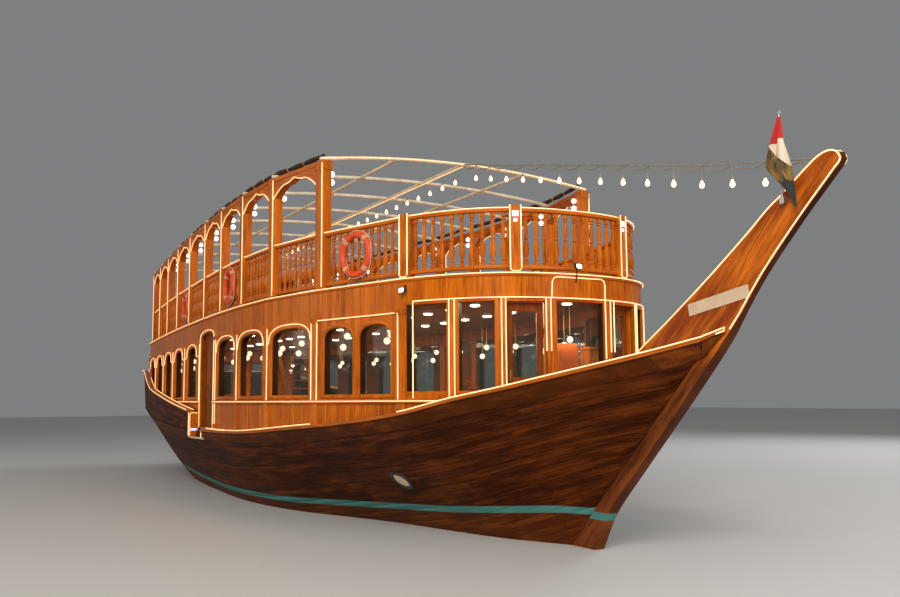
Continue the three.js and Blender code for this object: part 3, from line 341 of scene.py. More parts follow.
def prow_finish(name):
    """Orange sides over the sheer and brown ones below, painted shade on the edge faces where the tone is 0,
    and the band.
    """
    f = Finish(name)
    along, across, _ = f.parts(f.uv())
    above, side = f.mark("above"), f.mark("tone")
    grain = f.noise(f.xyz(along * 0.8, across * 9.0, 0.0), 1.6, 6.0, 0.62)
    cloud = f.noise(f.xyz(along * 0.6, across * 2.6, 4.0), 1.5, 4.0)
    shade = grain + (cloud - 0.5) * 1.4
    tall = above.ramp(1.85, 2.30)
    orange = f.mix(shade.ramp(0.25, 0.95), PROW_DARK, PROW_LIGHT)
    brown = f.mix(shade.ramp(0.2, 0.95), (0.070, 0.015, 0.003), (0.30, 0.080, 0.014))
    # The edge faces, where the tone is 0, take this dark colour as painted shade.
    edge = f.mix(shade.ramp(0.2, 0.95), HULL_DARK, (0.14, 0.032, 0.008))
    colour = f.mix(side.ramp(0.35, 0.65), edge, f.mix(tall, brown, orange))
    colour = f.mix(above.size().below(BAND_HALF), f.mix(above.below(0.0), colour, brown), TEAL)
    return f.surface(Base_Color=colour, Roughness=0.42 + (cloud - 0.5) * 0.2, Specular_IOR_Level=0.08,
                     Normal=f.bump(grain, 0.003, 0.5))


HULL = hull_finish("hull_varnish", HULL_DARK, HULL_LIGHT, (0.085, 0.019, 0.003), (0.23, 0.060, 0.010))
STEM = prow_finish("prow_varnish")

# %% [markdown]
# Lights, glass, metal, paint, rope and cloth follow. The rope lights are tubes with small bright
# diodes every few centimetres, which a wave along the tube's own length makes. Glass is thin and
# clear with a green cast, so its see-through share is set rather than bent light.

# %% Other finishes


def rope_light(name, core, sheath, strength):
    """Brightness is a wave on the length along the tube: one peak a diode."""
    f = Finish(name)
    along, _, _ = f.parts(f.uv())
    peak = ((along / 0.036).fract() - 0.5).size().ramp(0.42, 0.06)
    glow = f.mix(peak, sheath, core)
    return f.surface(Base_Color=(0.9, 0.75, 0.6), Roughness=0.3,
                     Emission_Color=glow, Emission_Strength=strength)


def glowing(name, colour, strength):
    f = Finish(name)
    return f.surface(Base_Color=(0.9, 0.88, 0.84), Roughness=0.15,
                     Emission_Color=colour, Emission_Strength=strength)


def painted(name, colour, rough=0.45, metal=0.0, mottle=0.12, scale=6.0):
    """Paint or metal with clouds of wear and a fine orange-peel surface."""
    f = Finish(name)
    cloud = f.noise(f.place(), scale, 5.0, 0.6)
    fine = f.noise(f.place(), scale * 60, 2.0)
    worn = tuple(c * (1 - 2.2 * mottle) for c in colour)
    return f.surface(Base_Color=f.mix(cloud.ramp(0.35, 0.7), worn, colour), Metallic=metal,
                     Roughness=rough + (cloud - 0.5) * 0.3, Normal=f.bump(fine + cloud * 2.0, 0.0006, 0.4))


def clear_glass():
    f = Finish("saloon_glass")
    smear = f.noise(f.place(), 2.2, 4.0)
    return f.surface(Base_Color=(0.03, 0.05, 0.04), Roughness=0.02 + smear.ramp(0.45, 0.8) * 0.07, Alpha=0.30,
                     IOR=1.5, Normal=f.bump(f.noise(f.place(), 1.1, 2.0), 0.004, 0.25))


def rope_finish(name, colour):
    """Strands are slanted waves on the tube's length and round."""
    f = Finish(name)
    along, about, _ = f.parts(f.uv())
    lay = ((along * 22.0 + about).fract() - 0.5).size()
    dark = tuple(c * 0.35 for c in colour)
    return f.surface(Base_Color=f.mix(lay.ramp(0.38, 0.5), colour, dark), Roughness=0.85,
                     Normal=f.bump(1.0 - lay, 0.004))


LED = rope_light("rope_light", (1.0, 0.60, 0.21), (0.92, 0.40, 0.09), 1.25)
LED_BLUE = glowing("deck_lamp_blue", (0.28, 0.36, 1.0), 1.4)
BULB = glowing("bulb_glass", (1.0, 0.64, 0.28), 1.9)
PENDANT = glowing("pendant_glass", (1.0, 0.84, 0.56), 2.2)
LANTERN = glowing("post_lamp", (0.85, 0.95, 1.0), 2.5)
DOWNLIGHT = glowing("saloon_downlight", (1.0, 0.86, 0.66), 14.0)
GLASS = clear_glass()
STEEL = painted("galvanised_steel", (0.56, 0.57, 0.57), 0.38, 0.9)
FRAME_PAINT = painted("roof_frame_paint", (0.84, 0.76, 0.57), 0.45)
BRONZE = painted("propeller_bronze", (0.42, 0.26, 0.10), 0.35, 1.0, 0.18)
ENGINE = painted("engine_paint", (0.10, 0.14, 0.12), 0.5)
BUOY = painted("lifebuoy_orange", (0.78, 0.075, 0.008), 0.5, 0.0, 0.06)
BUOY_BAND = painted("lifebuoy_band", (0.80, 0.38, 0.20), 0.5, 0.0, 0.08)
CREAM = painted("board_cream", (0.74, 0.56, 0.38), 0.55, 0.0, 0.06)
LEATHER = painted("helm_leather", (0.62, 0.115, 0.008), 0.45, 0.0, 0.10, 5.0)
BLACK = painted("black_plastic", (0.02, 0.02, 0.02), 0.5)
SEAT = painted("bench_paint", (0.66, 0.60, 0.50), 0.5)
CANVAS = painted("rolled_canvas", (0.050, 0.030, 0.020), 0.85, 0.0, 0.3, 9.0)
BRASS = painted("brass", (0.70, 0.48, 0.16), 0.3, 1.0)
ROPE = rope_finish("buoy_rope", (0.70, 0.62, 0.48))
CABLE = painted("festoon_cable", (0.30, 0.27, 0.22), 0.6)

# %% [markdown]
# Every new piece is a set of grids. A grid is an array of points, rows by columns, and its faces
# are the cells between neighbours, so one function turns any such array into faces. Closed rings
# wrap round, ends are capped, and a plate is a grid with a second one behind it and a rim between.

# %% Grids of points


def cells(rows, cols, wrap_rows=False, wrap_cols=False):
    """Corners of each cell, as positions in the flattened grid."""
    i = np.arange(rows if wrap_rows else rows - 1)
    j = np.arange(cols if wrap_cols else cols - 1)
    i, j = (a.ravel() for a in np.meshgrid(i, j, indexing="ij"))
    up, beside = (i + 1) % rows, (j + 1) % cols
    return np.stack([i * cols + j, i * cols + beside, up * cols + beside, up * cols + j], 1)


def enclosed(points, faces):
    """Volume inside a closed set of faces: the sum of the pyramids from the first point to each."""
    p = points - points[0]
    a, b, c, d = (p[faces[:, k]] for k in range(4))
    return (np.cross(a, b) * c).sum() / 6 + (np.cross(a, c) * d).sum() / 6


class Piece:
    """Gathers grids and turns them into one mesh object."""

    def __init__(self, name):
        self.name = name
        self.points, self.faces, self.uvs, self.tones, self.above = [], [], [], [], []
        self.count = 0

    def _add(self, points, faces, uv, tone, above=None):
        self.points.append(points)
        self.faces.extend((faces + self.count).tolist() if isinstance(faces, np.ndarray)
                          else [[k + self.count for k in face] for face in faces])
        self.uvs.append(uv)
        self.tones.append(np.broadcast_to(np.asarray(tone, float), (len(points),)))
        self.above.append(np.ones(len(points)) if above is None else above)
        self.count += len(points)

    def loop(self, points, uv, wrap=False, tone=0.5, above=None):
        """Rings of points, one a row: closed round, and capped at both ends unless the rows wrap too."""
        rows, cols, _ = points.shape
        flat = points.reshape(-1, 3)
        faces = cells(rows, cols, wrap, True)
        caps = [] if wrap else [list(range(cols))[::-1], [(rows - 1) * cols + k for k in range(cols)]]
        whole = enclosed(flat, faces)
        if not wrap:
            for cap in caps:
                fan = np.array([[cap[0], cap[k], cap[k + 1], cap[k + 1]] for k in range(1, cols - 1)])
                whole += enclosed(flat, fan)
        if whole < 0:
            faces = faces[:, ::-1]
            caps = [cap[::-1] for cap in caps]
        self._add(flat, faces, uv.reshape(-1, 2), tone, above)
        self.faces.extend([[k + self.count - len(flat) for k in cap] for cap in caps])

    def plate(self, front, back, uv, tone=0.5, above=None):
        """Two grids of equal shape, back to back, joined by a rim."""
        rows, cols, _ = front.shape
        n = rows * cols
        flat = np.concatenate([front.reshape(-1, 3), back.reshape(-1, 3)])
        face = cells(rows, cols)
        index = np.arange(n).reshape(rows, cols)
        ring = np.concatenate([index[0, :], index[1:, -1], index[-1, -2::-1], index[-2:0:-1, 0]])
        after = np.roll(ring, -1)
        rim = np.stack([after, ring, ring + n, after + n], 1)
        faces = np.concatenate([face, face[:, ::-1] + n, rim])
        if enclosed(flat, faces) < 0:
            faces = faces[:, ::-1]
        tones = np.tile(np.broadcast_to(tone, (n,)), 2)
        above = None if above is None else np.tile(above.ravel(), 2)
        self._add(flat, faces, np.tile(uv.reshape(-1, 2), (2, 1)), tones, above)

    def make(self, material, slot, body="boat", replaces=(), weld=False, crease=35.0):
        data = bpy.data.meshes.new(self.name)
        points = np.concatenate(self.points)
        data.from_pydata(points, [], self.faces)
        corner = np.empty(len(data.loops), np.int32)
        data.loops.foreach_get("vertex_index", corner)
        layer = data.uv_layers.new(name="UVMap")
        layer.data.foreach_set("uv", np.concatenate(self.uvs)[corner].astype(np.float32).ravel())
        for name, values in (("tone", self.tones), ("above", self.above)):
            mark = data.attributes.new(name, "FLOAT", "POINT")
            mark.data.foreach_set("value", np.concatenate(values).astype(np.float32))
        if weld:
            weld_points(data)
        data.validate()
        data.shade_smooth()
        data.set_sharp_from_angle(angle=math.radians(crease))
        data.materials.append(material)
        made = bpy.data.objects.new(self.name, data)
        bpy.context.collection.objects.link(made)
        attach(made, body)
        if replaces:
            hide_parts(*replaces)
        print(self.name, len(data.vertices), "points", len(data.polygons), "faces")
        return made


def weld_points(data, near=1e-5):
    bm = bmesh.new()
    bm.from_mesh(data)
    bmesh.ops.remove_doubles(bm, verts=bm.verts, dist=near)
    bmesh.ops.dissolve_degenerate(bm, edges=bm.edges, dist=near)
    bm.to_mesh(data)
    bm.free()

# %% [markdown]
# The hull is described the way a builder's lines plan does it: at a few stations, its half-breadth
# and the heights of its two edges, with a power that says how full the section is. A smooth curve
# through the stations gives every point between, so the planks have none of the frame's facets.

# %% Lines of the hull
LINES = np.array([
    # x, half-breadth and height of the top edge, height of the lower edge, power of the section
    [-12.50, 2.200, 1.900, 0.300, 0.50],
    [-11.00, 2.450, 1.812, -0.170, 0.50],
    [-9.50, 2.660, 1.726, -0.580, 0.50],
    [-8.00, 2.860, 1.651, -0.890, 0.49],
    [-6.50, 3.000, 1.588, -1.020, 0.46],
    [-3.50, 3.200, 1.493, -1.050, 0.43],
    [-0.50, 3.250, 1.450, -1.050, 0.40],
    [1.80, 3.165, 1.475, -1.050, 0.56],
    [4.50, 2.790, 1.640, -1.050, 1.08],
    [5.70, 2.560, 1.730, -0.960, 1.20],
    [6.83, 2.290, 1.865, -0.700, 1.30],
    [7.59, 1.960, 2.036, -0.150, 1.30],
    [8.30, 1.620, 2.172, 0.535, 1.30],
    [9.04, 1.215, 2.335, 1.230, 1.30],
    [9.56, 0.850, 2.465, 1.720, 1.30],
    [10.09, 0.480, 2.600, 2.220, 1.30],
    [10.65, 0.095, 2.757, 2.742, 1.30],
])
HALF, TOP, LOW, POWER = 1, 2, 3, 4
STERN_X, BOW_X = LINES[0, 0], LINES[-1, 0]
TIMBER_HALF = 0.08
GATE_AFT, GATE_FORE, GATE_SILL = -2.10, -0.90, 1.30
ROW = np.arange(len(LINES))
AFTER, BEFORE = np.minimum(ROW + 1, ROW[-1]), np.maximum(ROW - 1, 0)
SLOPES = (LINES[AFTER] - LINES[BEFORE]) / (LINES[AFTER, :1] - LINES[BEFORE, :1])
# What touching pieces keep between them
GAP = 0.0004


def smooth(t):
    """3t^2 - 2t^3 between 0 and 1, flat outside."""
    t = np.clip(t, 0, 1)
    return t * t * (3 - 2 * t)


def hermite(t):
    """A cubic's shares of its first place and slope, and of its last place and slope."""
    return 2 * t**3 - 3 * t**2 + 1, t**3 - 2 * t**2 + t, 3 * t**2 - 2 * t**3, t**3 - t**2


def line(column, x):
    """Cubic from row to row whose slope at a row is that from the row before it to the row after."""
    x = np.asarray(x, float)
    i = np.clip(np.searchsorted(LINES[:, 0], x), 1, len(LINES) - 1)
    run = LINES[i, 0] - LINES[i - 1, 0]
    a, b, c, d = hermite((x - LINES[i - 1, 0]) / run)
    return (a * LINES[i - 1, column] + b * run * SLOPES[i - 1, column]
            + c * LINES[i, column] + d * run * SLOPES[i, column])


def hull_half(x, z):
    """Timber half plus the rest of the half-breadth times a power of u, which is 0 below and 1 on top."""
    low = line(LOW, x)
    u = np.clip((z - low) / (line(TOP, x) - low), 0, 1)
    return TIMBER_HALF + (line(HALF, x) - TIMBER_HALF) * u ** line(POWER, x)


def prow_half(z):
    """Half the timber's thickness: 84 mm low down, 80 mm at the sheer and 45 mm from 0.3 m above it."""
    return np.interp(z, (2.55, 2.745, 3.05), (0.084, 0.080, 0.045))


def raked(x, z):
    """The last metre and a half leans aft a tenth of its height over 0.3 m."""
    return x - 0.1 * smooth((-11.0 - x) / 1.5) * (z - 0.3)


def bulwark_top(x):
    """Rises 85 mm a metre towards the stern, and faster over the last four metres."""
    at = np.maximum(x, -12.0)
    return 1.85 + 0.085 * (-2.3 - at) + 0.43 * (np.maximum(0, -8.5 - at) / 4) ** 2


def topside_half(x, z):
    """Above the hull's top edge the side flares 40 mm a metre."""
    return line(HALF, x) + 0.04 * (z - line(TOP, x))


WATER_BAND = np.array([
    # x, height of the middle of the teal band
    [-12.6, 0.55], [-8.0, 0.39], [-4.5, 0.30], [-1.5, 0.235], [1.7, 0.245], [4.0, 0.32], [6.0, 0.41],
    [7.8, 0.54], [8.3, 0.53], [8.6, 0.49], [8.7, 0.47], [12.0, 0.47],
])


def above_band(x, z):
    return z - np.interp(x, *WATER_BAND.T)


print("length", BOW_X - STERN_X, "widest", round(2 * float(line(HALF, np.linspace(-3, 2, 50)).max()), 3))

# %% [markdown]
# Each side is planked with strakes that run from stem to stern, parallel to the top edge, so they
# run out one after another along the keel and stem as real ones do. A strake's place is its
# distance down the section from the top. Its edges dip into a V, which shows as a dark seam.

# %% Hull planking
STRAKE, STRAKE_COUNT = 0.148, 37
SKIN, KEEL_SKIN, SEAM_DEEP = 0.022, 0.004, 0.004
GATE_STEP = 5e-4
STATIONS = np.unique(np.r_[np.linspace(STERN_X, BOW_X, 150),
                           GATE_AFT - GATE_STEP, GATE_AFT, GATE_FORE, GATE_FORE + GATE_STEP])


def strake_columns(count):
    """Three places a strake: its seam, then just after and just before its edges, in strakes from the top."""
    return np.append((np.arange(count)[:, None] + np.array([0.0, 0.035, 0.965])).ravel(), count)


def side_outward(x, z, step=0.004):
    """Unit normal of the port side: minus the slopes of half-breadth along x and z, beside 1 along y."""
    by_x = (hull_half(x + step, z) - hull_half(x - step, z)) / (2 * step)
    by_z = (hull_half(x, z + step) - hull_half(x, z - step)) / (2 * step)
    n = np.stack([-by_x, np.ones_like(by_x), -by_z], -1)
    return n / np.linalg.norm(n, axis=-1, keepdims=True)


def strake_grid(xs, columns):
    """Heights of the columns at each station, counted in strake widths down the section's arc."""
    share = np.linspace(1, 0, 500) ** 1.6
    low, top = line(LOW, xs)[:, None], line(TOP, xs)[:, None]
    z = low + share * (top - low)
    y = hull_half(xs[:, None], z)
    arc = np.cumsum(np.hypot(np.diff(y, axis=1), np.diff(z, axis=1)), axis=1)
    arc = np.concatenate([np.zeros((len(xs), 1)), arc], 1)
    wide = STRAKE * (1 - 0.25 * smooth((xs - 3) / 7))
    return np.array([np.interp(columns * w, a, row) for w, a, row in zip(wide, arc, z)])


def hull_planking():
    columns = strake_columns(STRAKE_COUNT)
    z = strake_grid(STATIONS, columns)
    x = np.broadcast_to(STATIONS[:, None], z.shape)
    gate = (x >= GATE_AFT) & (x <= GATE_FORE)
    z = np.where(gate, np.minimum(z, GATE_SILL), z)
    low = line(LOW, x)
    u = (z - low) / (line(TOP, x) - low)
    inner = np.stack([x, hull_half(x, z), z], -1)
    full = smooth(u / 0.05)
    out = KEEL_SKIN + (SKIN - KEEL_SKIN) * full - SEAM_DEEP * (columns % 1 == 0) * full
    outer = inner + side_outward(x, z) * out[..., None]
    under = inner - side_outward(x, z) * 0.03 * smooth(u / 0.1)[..., None]
    under[..., 1] = np.maximum(under[..., 1], 0.002)
    for grid in (outer, under):
        grid[..., 0] = raked(grid[..., 0], z)
    uv = np.stack([x, np.broadcast_to(columns, x.shape)], -1)
    piece = Piece("hull_planking")
    for side in (-1, 1):
        flip = np.array([1, side, 1])
        piece.plate(outer * flip, under * flip, uv + [0, 40 * (side > 0)], above=above_band(x, z))
    piece.make(HULL, "hull_varnish", weld=True, crease=40)


def transom_planking():
    """Boards across the flat stern, each between the half-breadths at its own height."""
    columns = strake_columns(9)
    x = STERN_X
    low, top = line(LOW, x), line(TOP, x)
    z = top - (top - low) * columns / 9
    across = np.linspace(-1, 1, 25)
    y = across[None, :] * (hull_half(x, z)[:, None] + 0.02)
    face = np.stack(np.broadcast_arrays(raked(x, z)[:, None], y, z[:, None]), -1)
    outer, inner = face.copy(), face.copy()
    outer[..., 0] -= np.where(columns % 1 == 0, 0.014, 0.022)[:, None]
    inner[..., 0] += 0.02
    uv = np.stack([y, np.broadcast_to(columns[:, None], y.shape)], -1)
    piece = Piece("transom_planking")
    piece.plate(outer, inner, uv + [0, 90], above=above_band(x, face[..., 2]))
    piece.make(HULL, "hull_varnish", crease=40)


hull_planking()
transom_planking()

# %% [markdown]
# Long timbers such as the wale, the cap rails and the rails of the upper deck are profiles carried
# along a line. The profile is a rectangle whose corners are rounded, since rails that hands and
# ropes run over never keep sharp edges. A bevel would do, but the ring gives it directly.

# %% Rounded bars


def rounded(wide, high, r=0.012, turns=3):
    """Ring of a rectangle with quarter circles of radius r at its corners, centred on 0, 0."""
    angle = np.linspace(0, math.pi / 2, turns)
    ring = []
    for k, (sx, sy) in enumerate(((1, 1), (-1, 1), (-1, -1), (1, -1))):
        a = angle + k * math.pi / 2
        ring.append(np.stack([sx * (wide / 2 - r) + r * np.cos(a), sy * (high / 2 - r) + r * np.sin(a)], 1))
    return np.concatenate(ring)


def length_uv(points, across):
    """Metres along the middle of the rings, and metres round each ring."""
    middle = points.mean(1)
    along = np.r_[0, np.cumsum(np.linalg.norm(np.diff(middle, axis=0), axis=1))]
    return np.stack(np.broadcast_arrays(along[:, None], across[None, :]), -1)


def girth(ring):
    return np.r_[0, np.cumsum(np.linalg.norm(np.diff(ring, axis=0), axis=1))]


def tube_rings(path, r, sides=8, closed=False):
    """Circles of radius r square to a path: the first side is its direction crossed with a fixed slant."""
    path = np.asarray(path, float)
    ahead = np.roll(path, -1, 0) - np.roll(path, 1, 0) if closed else np.gradient(path, axis=0)
    ahead = ahead / np.maximum(np.linalg.norm(ahead, axis=1, keepdims=True), 1e-9)
    slant = np.array([0.31, 0.17, 0.94]) if np.abs(ahead[:, 2]).mean() < 0.8 else np.array([0.93, 0.31, 0.17])
    a = np.cross(ahead, slant)
    a /= np.linalg.norm(a, axis=1, keepdims=True)
    b = np.cross(ahead, a)
    angle = (np.arange(sides) * 2 * math.pi / sides)[None, :, None]
    r = np.broadcast_to(r, (len(path),))[:, None, None]
    return path[:, None, :] + r * (np.cos(angle) * a[:, None, :] + np.sin(angle) * b[:, None, :])


def add_tube(piece, path, r, sides=8, closed=False, tone=0.5):
    rings = tube_rings(path, r, sides, closed)
    piece.loop(rings, length_uv(rings, np.linspace(0, 1, sides)), wrap=closed, tone=tone)


def spaced(path, step):
    """The same line with points no further apart than step."""
    path = np.asarray(path, float)
    s = girth(path)
    at = np.unique(np.concatenate([s, np.arange(0, s[-1], step)]))
    return np.stack([np.interp(at, s, path[:, k]) for k in range(3)], 1)


def level_ring(ring, x, y, z):
    """A flat ring set round an upright line, at one height."""
    return np.stack([x + ring[:, 0], y + ring[:, 1], np.full(len(ring), z)], 1)


def boxed(piece, centre, size, r=0.008, tone=0.5):
    """A block with rounded upright edges, its length along x, y and z given by size."""
    x, y, z = centre
    ring = rounded(size[0], size[1], min(r, min(size[:2]) / 2.2))
    rings = np.stack([level_ring(ring, x, y, z + lift) for lift in (-size[2] / 2, size[2] / 2)])
    piece.loop(rings, length_uv(rings, girth(ring)), tone=tone)


def both_sides(points):
    return points, points * np.array([1, -1, 1])


# %% [markdown]
# The wale is the top strake, lighter and proud of the others, with a shadow under its edge. The
# cap rail lies on it and reaches in to the house wall. Abaft the boarding gates a high bulwark of
# four long boards goes round the stern, with a wide cap of its own.

# %% Wale, cap rails and stern bulwark
WALE_DEEP, WALE_WIDE, WALE_OUT = 0.17, 0.07, 0.030
CAP_THICK, CAP_OUT = 0.05, 0.055
FIRST_POST_X, LAST_POST_X = 4.5, -11.33
CORNER_X, WALL_GAP = 6.456, 0.015
BULWARK_ROWS, BULWARK_IN = 4, -0.06
WALE_FINISH = hull_finish("wale_varnish", (0.080, 0.018, 0.003), (0.30, 0.074, 0.011),
                          HULL_DARK, HULL_LIGHT, plank=3.4)


def house_half(x):
    """Narrows forward by the cube, and aft by the power 1.5, of the distance from its widest place."""
    x = np.asarray(x, float)
    fore = 3.11 - 0.38 * (np.maximum(x - 0.7, 0) / 3.8) ** 3
    return np.where(x >= 0.7, fore, 3.11 - 0.80 * (np.maximum(0.7 - x, 0) / 12.03) ** 1.5)


def side_run(x0, x1, step=0.2):
    return np.linspace(x0, x1, max(2, int(abs(x1 - x0) / step)))


def along_side(xs, ring, middle_y, middle_z):
    """The ring's first number goes out and its second up, at each station of the port side."""
    return np.stack([np.broadcast_to(xs[:, None], (len(xs), len(ring))),
                     middle_y[:, None] + ring[None, :, 0], middle_z[:, None] + ring[None, :, 1]], -1)


def wale():
    ring = rounded(WALE_WIDE, WALE_DEEP, 0.012)
    piece = Piece("wale")
    for x0, x1 in ((STERN_X + 0.01, GATE_AFT), (GATE_FORE, 10.55)):
        xs = side_run(x0, x1)
        z = line(TOP, xs) - WALE_DEEP / 2 - 0.004
        y = hull_half(xs, z) + SKIN + WALE_OUT - WALE_WIDE / 2
        bar = along_side(xs, ring, y, z)
        lean = 0.5 * (hull_half(xs, z + 0.08) - hull_half(xs, z - 0.08))[:, None] * ring[None, :, 1] / 0.08
        bar[..., 1] += lean
        bar[..., 0] = raked(bar[..., 0], bar[..., 2])
        for k, side in enumerate(both_sides(bar)):
            piece.loop(side, length_uv(side, girth(ring)), tone=0.3 + 0.2 * k)
    piece.make(WALE_FINISH, "hull_varnish")


def bow_caps():
    """The cap's outer edge follows the hull's top; its inner one the house wall, then a fixed width."""
    xs = np.unique(np.r_[side_run(GATE_FORE, 10.62), FIRST_POST_X])
    outer = line(HALF, xs) + CAP_OUT
    corner = 2.73 - 0.61 * (xs - FIRST_POST_X) / 1.956
    wall = np.where(xs < FIRST_POST_X, house_half(xs), corner) + WALL_GAP
    wall = np.where(xs < CORNER_X, wall, 0)
    inner = np.maximum(np.maximum(line(HALF, xs) - 0.09, wall), TIMBER_HALF + 0.008)
    z = line(TOP, xs) + GAP + CAP_THICK / 2
    ring = rounded(2.0, CAP_THICK, 0.014)
    past_edge = ring[:, 0] - np.sign(ring[:, 0])
    y = np.where(ring[:, 0] > 0, outer[:, None], inner[:, None]) + past_edge
    bar = np.stack([np.broadcast_to(xs[:, None], y.shape), y, z[:, None] + ring[None, :, 1]], -1)
    for name, side in zip(("cap_rail_port", "cap_rail_starboard"), both_sides(bar)):
        piece = Piece(name + "_moulded")
        piece.loop(side, length_uv(side, girth(ring) * 0.1), tone=0.6)
        piece.make(RAIL, "house_varnish", replaces=(name,))


def stern_path(offset, share=1.0, lift=0.0):
    """Round the stern, a distance outside the topside, at a share of the bulwark's height and a lift."""
    xs = side_run(GATE_AFT - 0.05, STERN_X, 0.22)
    foot = line(TOP, xs) + GAP
    z = foot + share * (bulwark_top(xs) - foot) + lift
    y = topside_half(xs, z) + offset
    x = raked(xs, z)
    x[-1] -= offset
    port = np.stack([x, y, z], 1)
    cross = np.linspace(y[-1], -y[-1], 13)[1:-1]
    back = np.stack([np.full(11, x[-1]), cross, np.full(11, z[-1])], 1)
    return np.concatenate([port, back, port[::-1] * [1, -1, 1]])


def stern_bulwark():
    """Each column is a path round the stern at its own share of the height, deeper at the seams."""
    columns = strake_columns(BULWARK_ROWS)
    shares = 1 - columns / BULWARK_ROWS
    deep = np.where(columns % 1 == 0, SKIN - SEAM_DEEP, SKIN)
    outer = np.stack([stern_path(offset, share) for offset, share in zip(deep, shares)], 1)
    inner = np.stack([stern_path(BULWARK_IN, share) for share in shares], 1)
    along = girth(outer[:, 0])
    uv = np.stack(np.broadcast_arrays(along[:, None], 120 + columns[None, :]), -1)
    piece = Piece("stern_bulwark_planking")
    piece.plate(outer, inner, uv, above=np.full(outer.shape[:2], 1.0))
    piece.make(HULL, "hull_varnish", replaces=("bulwark_stern",), crease=40)


def stern_cap():
    ring = rounded(0.15, CAP_THICK, 0.014)
    points = np.stack([stern_path(out, lift=GAP + CAP_THICK / 2) for out in ring[:, 0] - 0.025], 1)
    points[..., 2] += ring[None, :, 1]
    piece = Piece("stern_cap_moulded")
    piece.loop(points, length_uv(points, girth(ring)), tone=0.4)
    piece.make(RAIL, "house_varnish", replaces=("cap_rail_stern",))


wale()
bow_caps()
stern_bulwark()
stern_cap()

# %% [markdown]
# Smaller things follow on the same lines. Where the caps and wales meet the stem they taper to
# nothing along its sides. A board ends the side deck at each boarding gate, over a pale sill, and
# each bow has an oval outlet. They are blocks and short stacks of rings.

# %% Ends of the caps, gate boards and outlets
NOSE_X, NOSE_TIP = np.linspace(10.60, 10.94, 10), 0.028
NOSES = (
    # name, top over the sheer, depth, share of the cap's width, finish, slot
    ("cap_noses", CAP_THICK, CAP_THICK, 1.0, RAIL, "house_varnish"),
    ("wale_noses", -0.002, WALE_DEEP, 0.7, WALE_FINISH, "hull_varnish"),
)
GATE_END_Y, GATE_SILL_Y = 3.165, 3.245
OUTLET_X, OUTLET_Z, OUTLET_SQUASH = 5.5, 0.85, 0.72
OUTLETS = (
    # name, finish, rows of radius and distance out of the planking
    ("outlet_rings", BLACK, ((0.190, 0.000), (0.190, 0.024), (0.165, 0.036), (0.140, 0.030), (0.140, 0.006))),
    ("outlet_mouths", CREAM, ((0.140, 0.012), (0.120, 0.022), (0.060, 0.016), (0.004, 0.014))),
)


def sheer(x):
    """Height of the hull's top edge, carried on straight past the last plank."""
    return line(TOP, np.minimum(x, BOW_X)) + 0.28 * np.maximum(x - BOW_X, 0)


def nose_half(x):
    """Inner and outer half-breadths of the cap past its last full station."""
    root = prow_half(sheer(x)) + 0.003
    full = line(HALF, NOSE_X[0]) + CAP_OUT - TIMBER_HALF
    return root, root + np.interp(x, (NOSE_X[0], NOSE_X[-1]), (full, NOSE_TIP))


def noses():
    """A ring of shares of width and depth at each place, drawn aft the lower it lies."""
    ring = np.array([[0, 0], [0.85, 0], [1, 0.15], [1, 0.85], [0.85, 1], [0, 1]])
    inner, outer = nose_half(NOSE_X)
    rake = (NOSE_X - NOSE_X[0]) / (NOSE_X[-1] - NOSE_X[0])
    for name, top, deep, share, finish, slot in NOSES:
        piece = Piece(name)
        wide = (outer - inner) * share
        y = inner[:, None] + wide[:, None] * ring[:, 0]
        z = sheer(NOSE_X)[:, None] + top - deep * (1 - ring[:, 1])
        x = NOSE_X[:, None] - (0.02 + 1.3 * deep * (1 - ring[:, 1])) * rake[:, None]
        for side in both_sides(np.stack([x, y, z], -1)):
            piece.loop(side, length_uv(side, girth(ring) * 0.1), tone=0.5)
        piece.make(finish, slot)


def gate_boards():
    """A board closes the side deck's end at each gate, over a pale sill, with a blue lamp at its foot."""
    boards, sills, lamps = Piece("gate_boards"), Piece("gate_sills"), Piece("gate_lamps")
    for side in (-1, 1):
        boxed(boards, (GATE_AFT, side * GATE_END_Y, 1.575), (0.03, 0.165, 0.51))
        boxed(sills, ((GATE_AFT + GATE_FORE) / 2, side * GATE_SILL_Y, 1.302), (1.16, 0.05, 0.035))
        boxed(lamps, (GATE_AFT + 0.022, side * GATE_END_Y, 1.46), (0.012, 0.13, 0.05), 0.004)
    boards.make(HOUSE, "house_varnish")
    sills.make(CREAM, "house_varnish")
    lamps.make(LED_BLUE, "saloon_glass")


def outlets():
    """A pale oval mouth in a dark ring on each bow, set along the planking's own slope."""
    angle = np.linspace(0, 2 * math.pi, 32, endpoint=False)
    for name, finish, rows in OUTLETS:
        piece = Piece(name)
        for side in (-1, 1):
            rings = []
            for r, out in rows:
                x, z = OUTLET_X + r * np.cos(angle), OUTLET_Z + OUTLET_SQUASH * r * np.sin(angle)
                point = np.stack([x, hull_half(x, z), z], -1) + side_outward(x, z) * (SKIN + out)
                rings.append(point * [1, side, 1])
            rings = np.stack(rings)
            piece.loop(rings, length_uv(rings, np.linspace(0, 1, 32)), tone=0.5)
        piece.make(finish, "steel")


noses()
gate_boards()
outlets()

# %% [markdown]
# The stem and the fin above it are flat timbers between two curved edges. They are 168 mm thick in
# the hull, thinner above it, and their edges are eased. A cut-out outline would need one huge flat
# face, so each timber is a stack of rings from its lower end to its top instead.

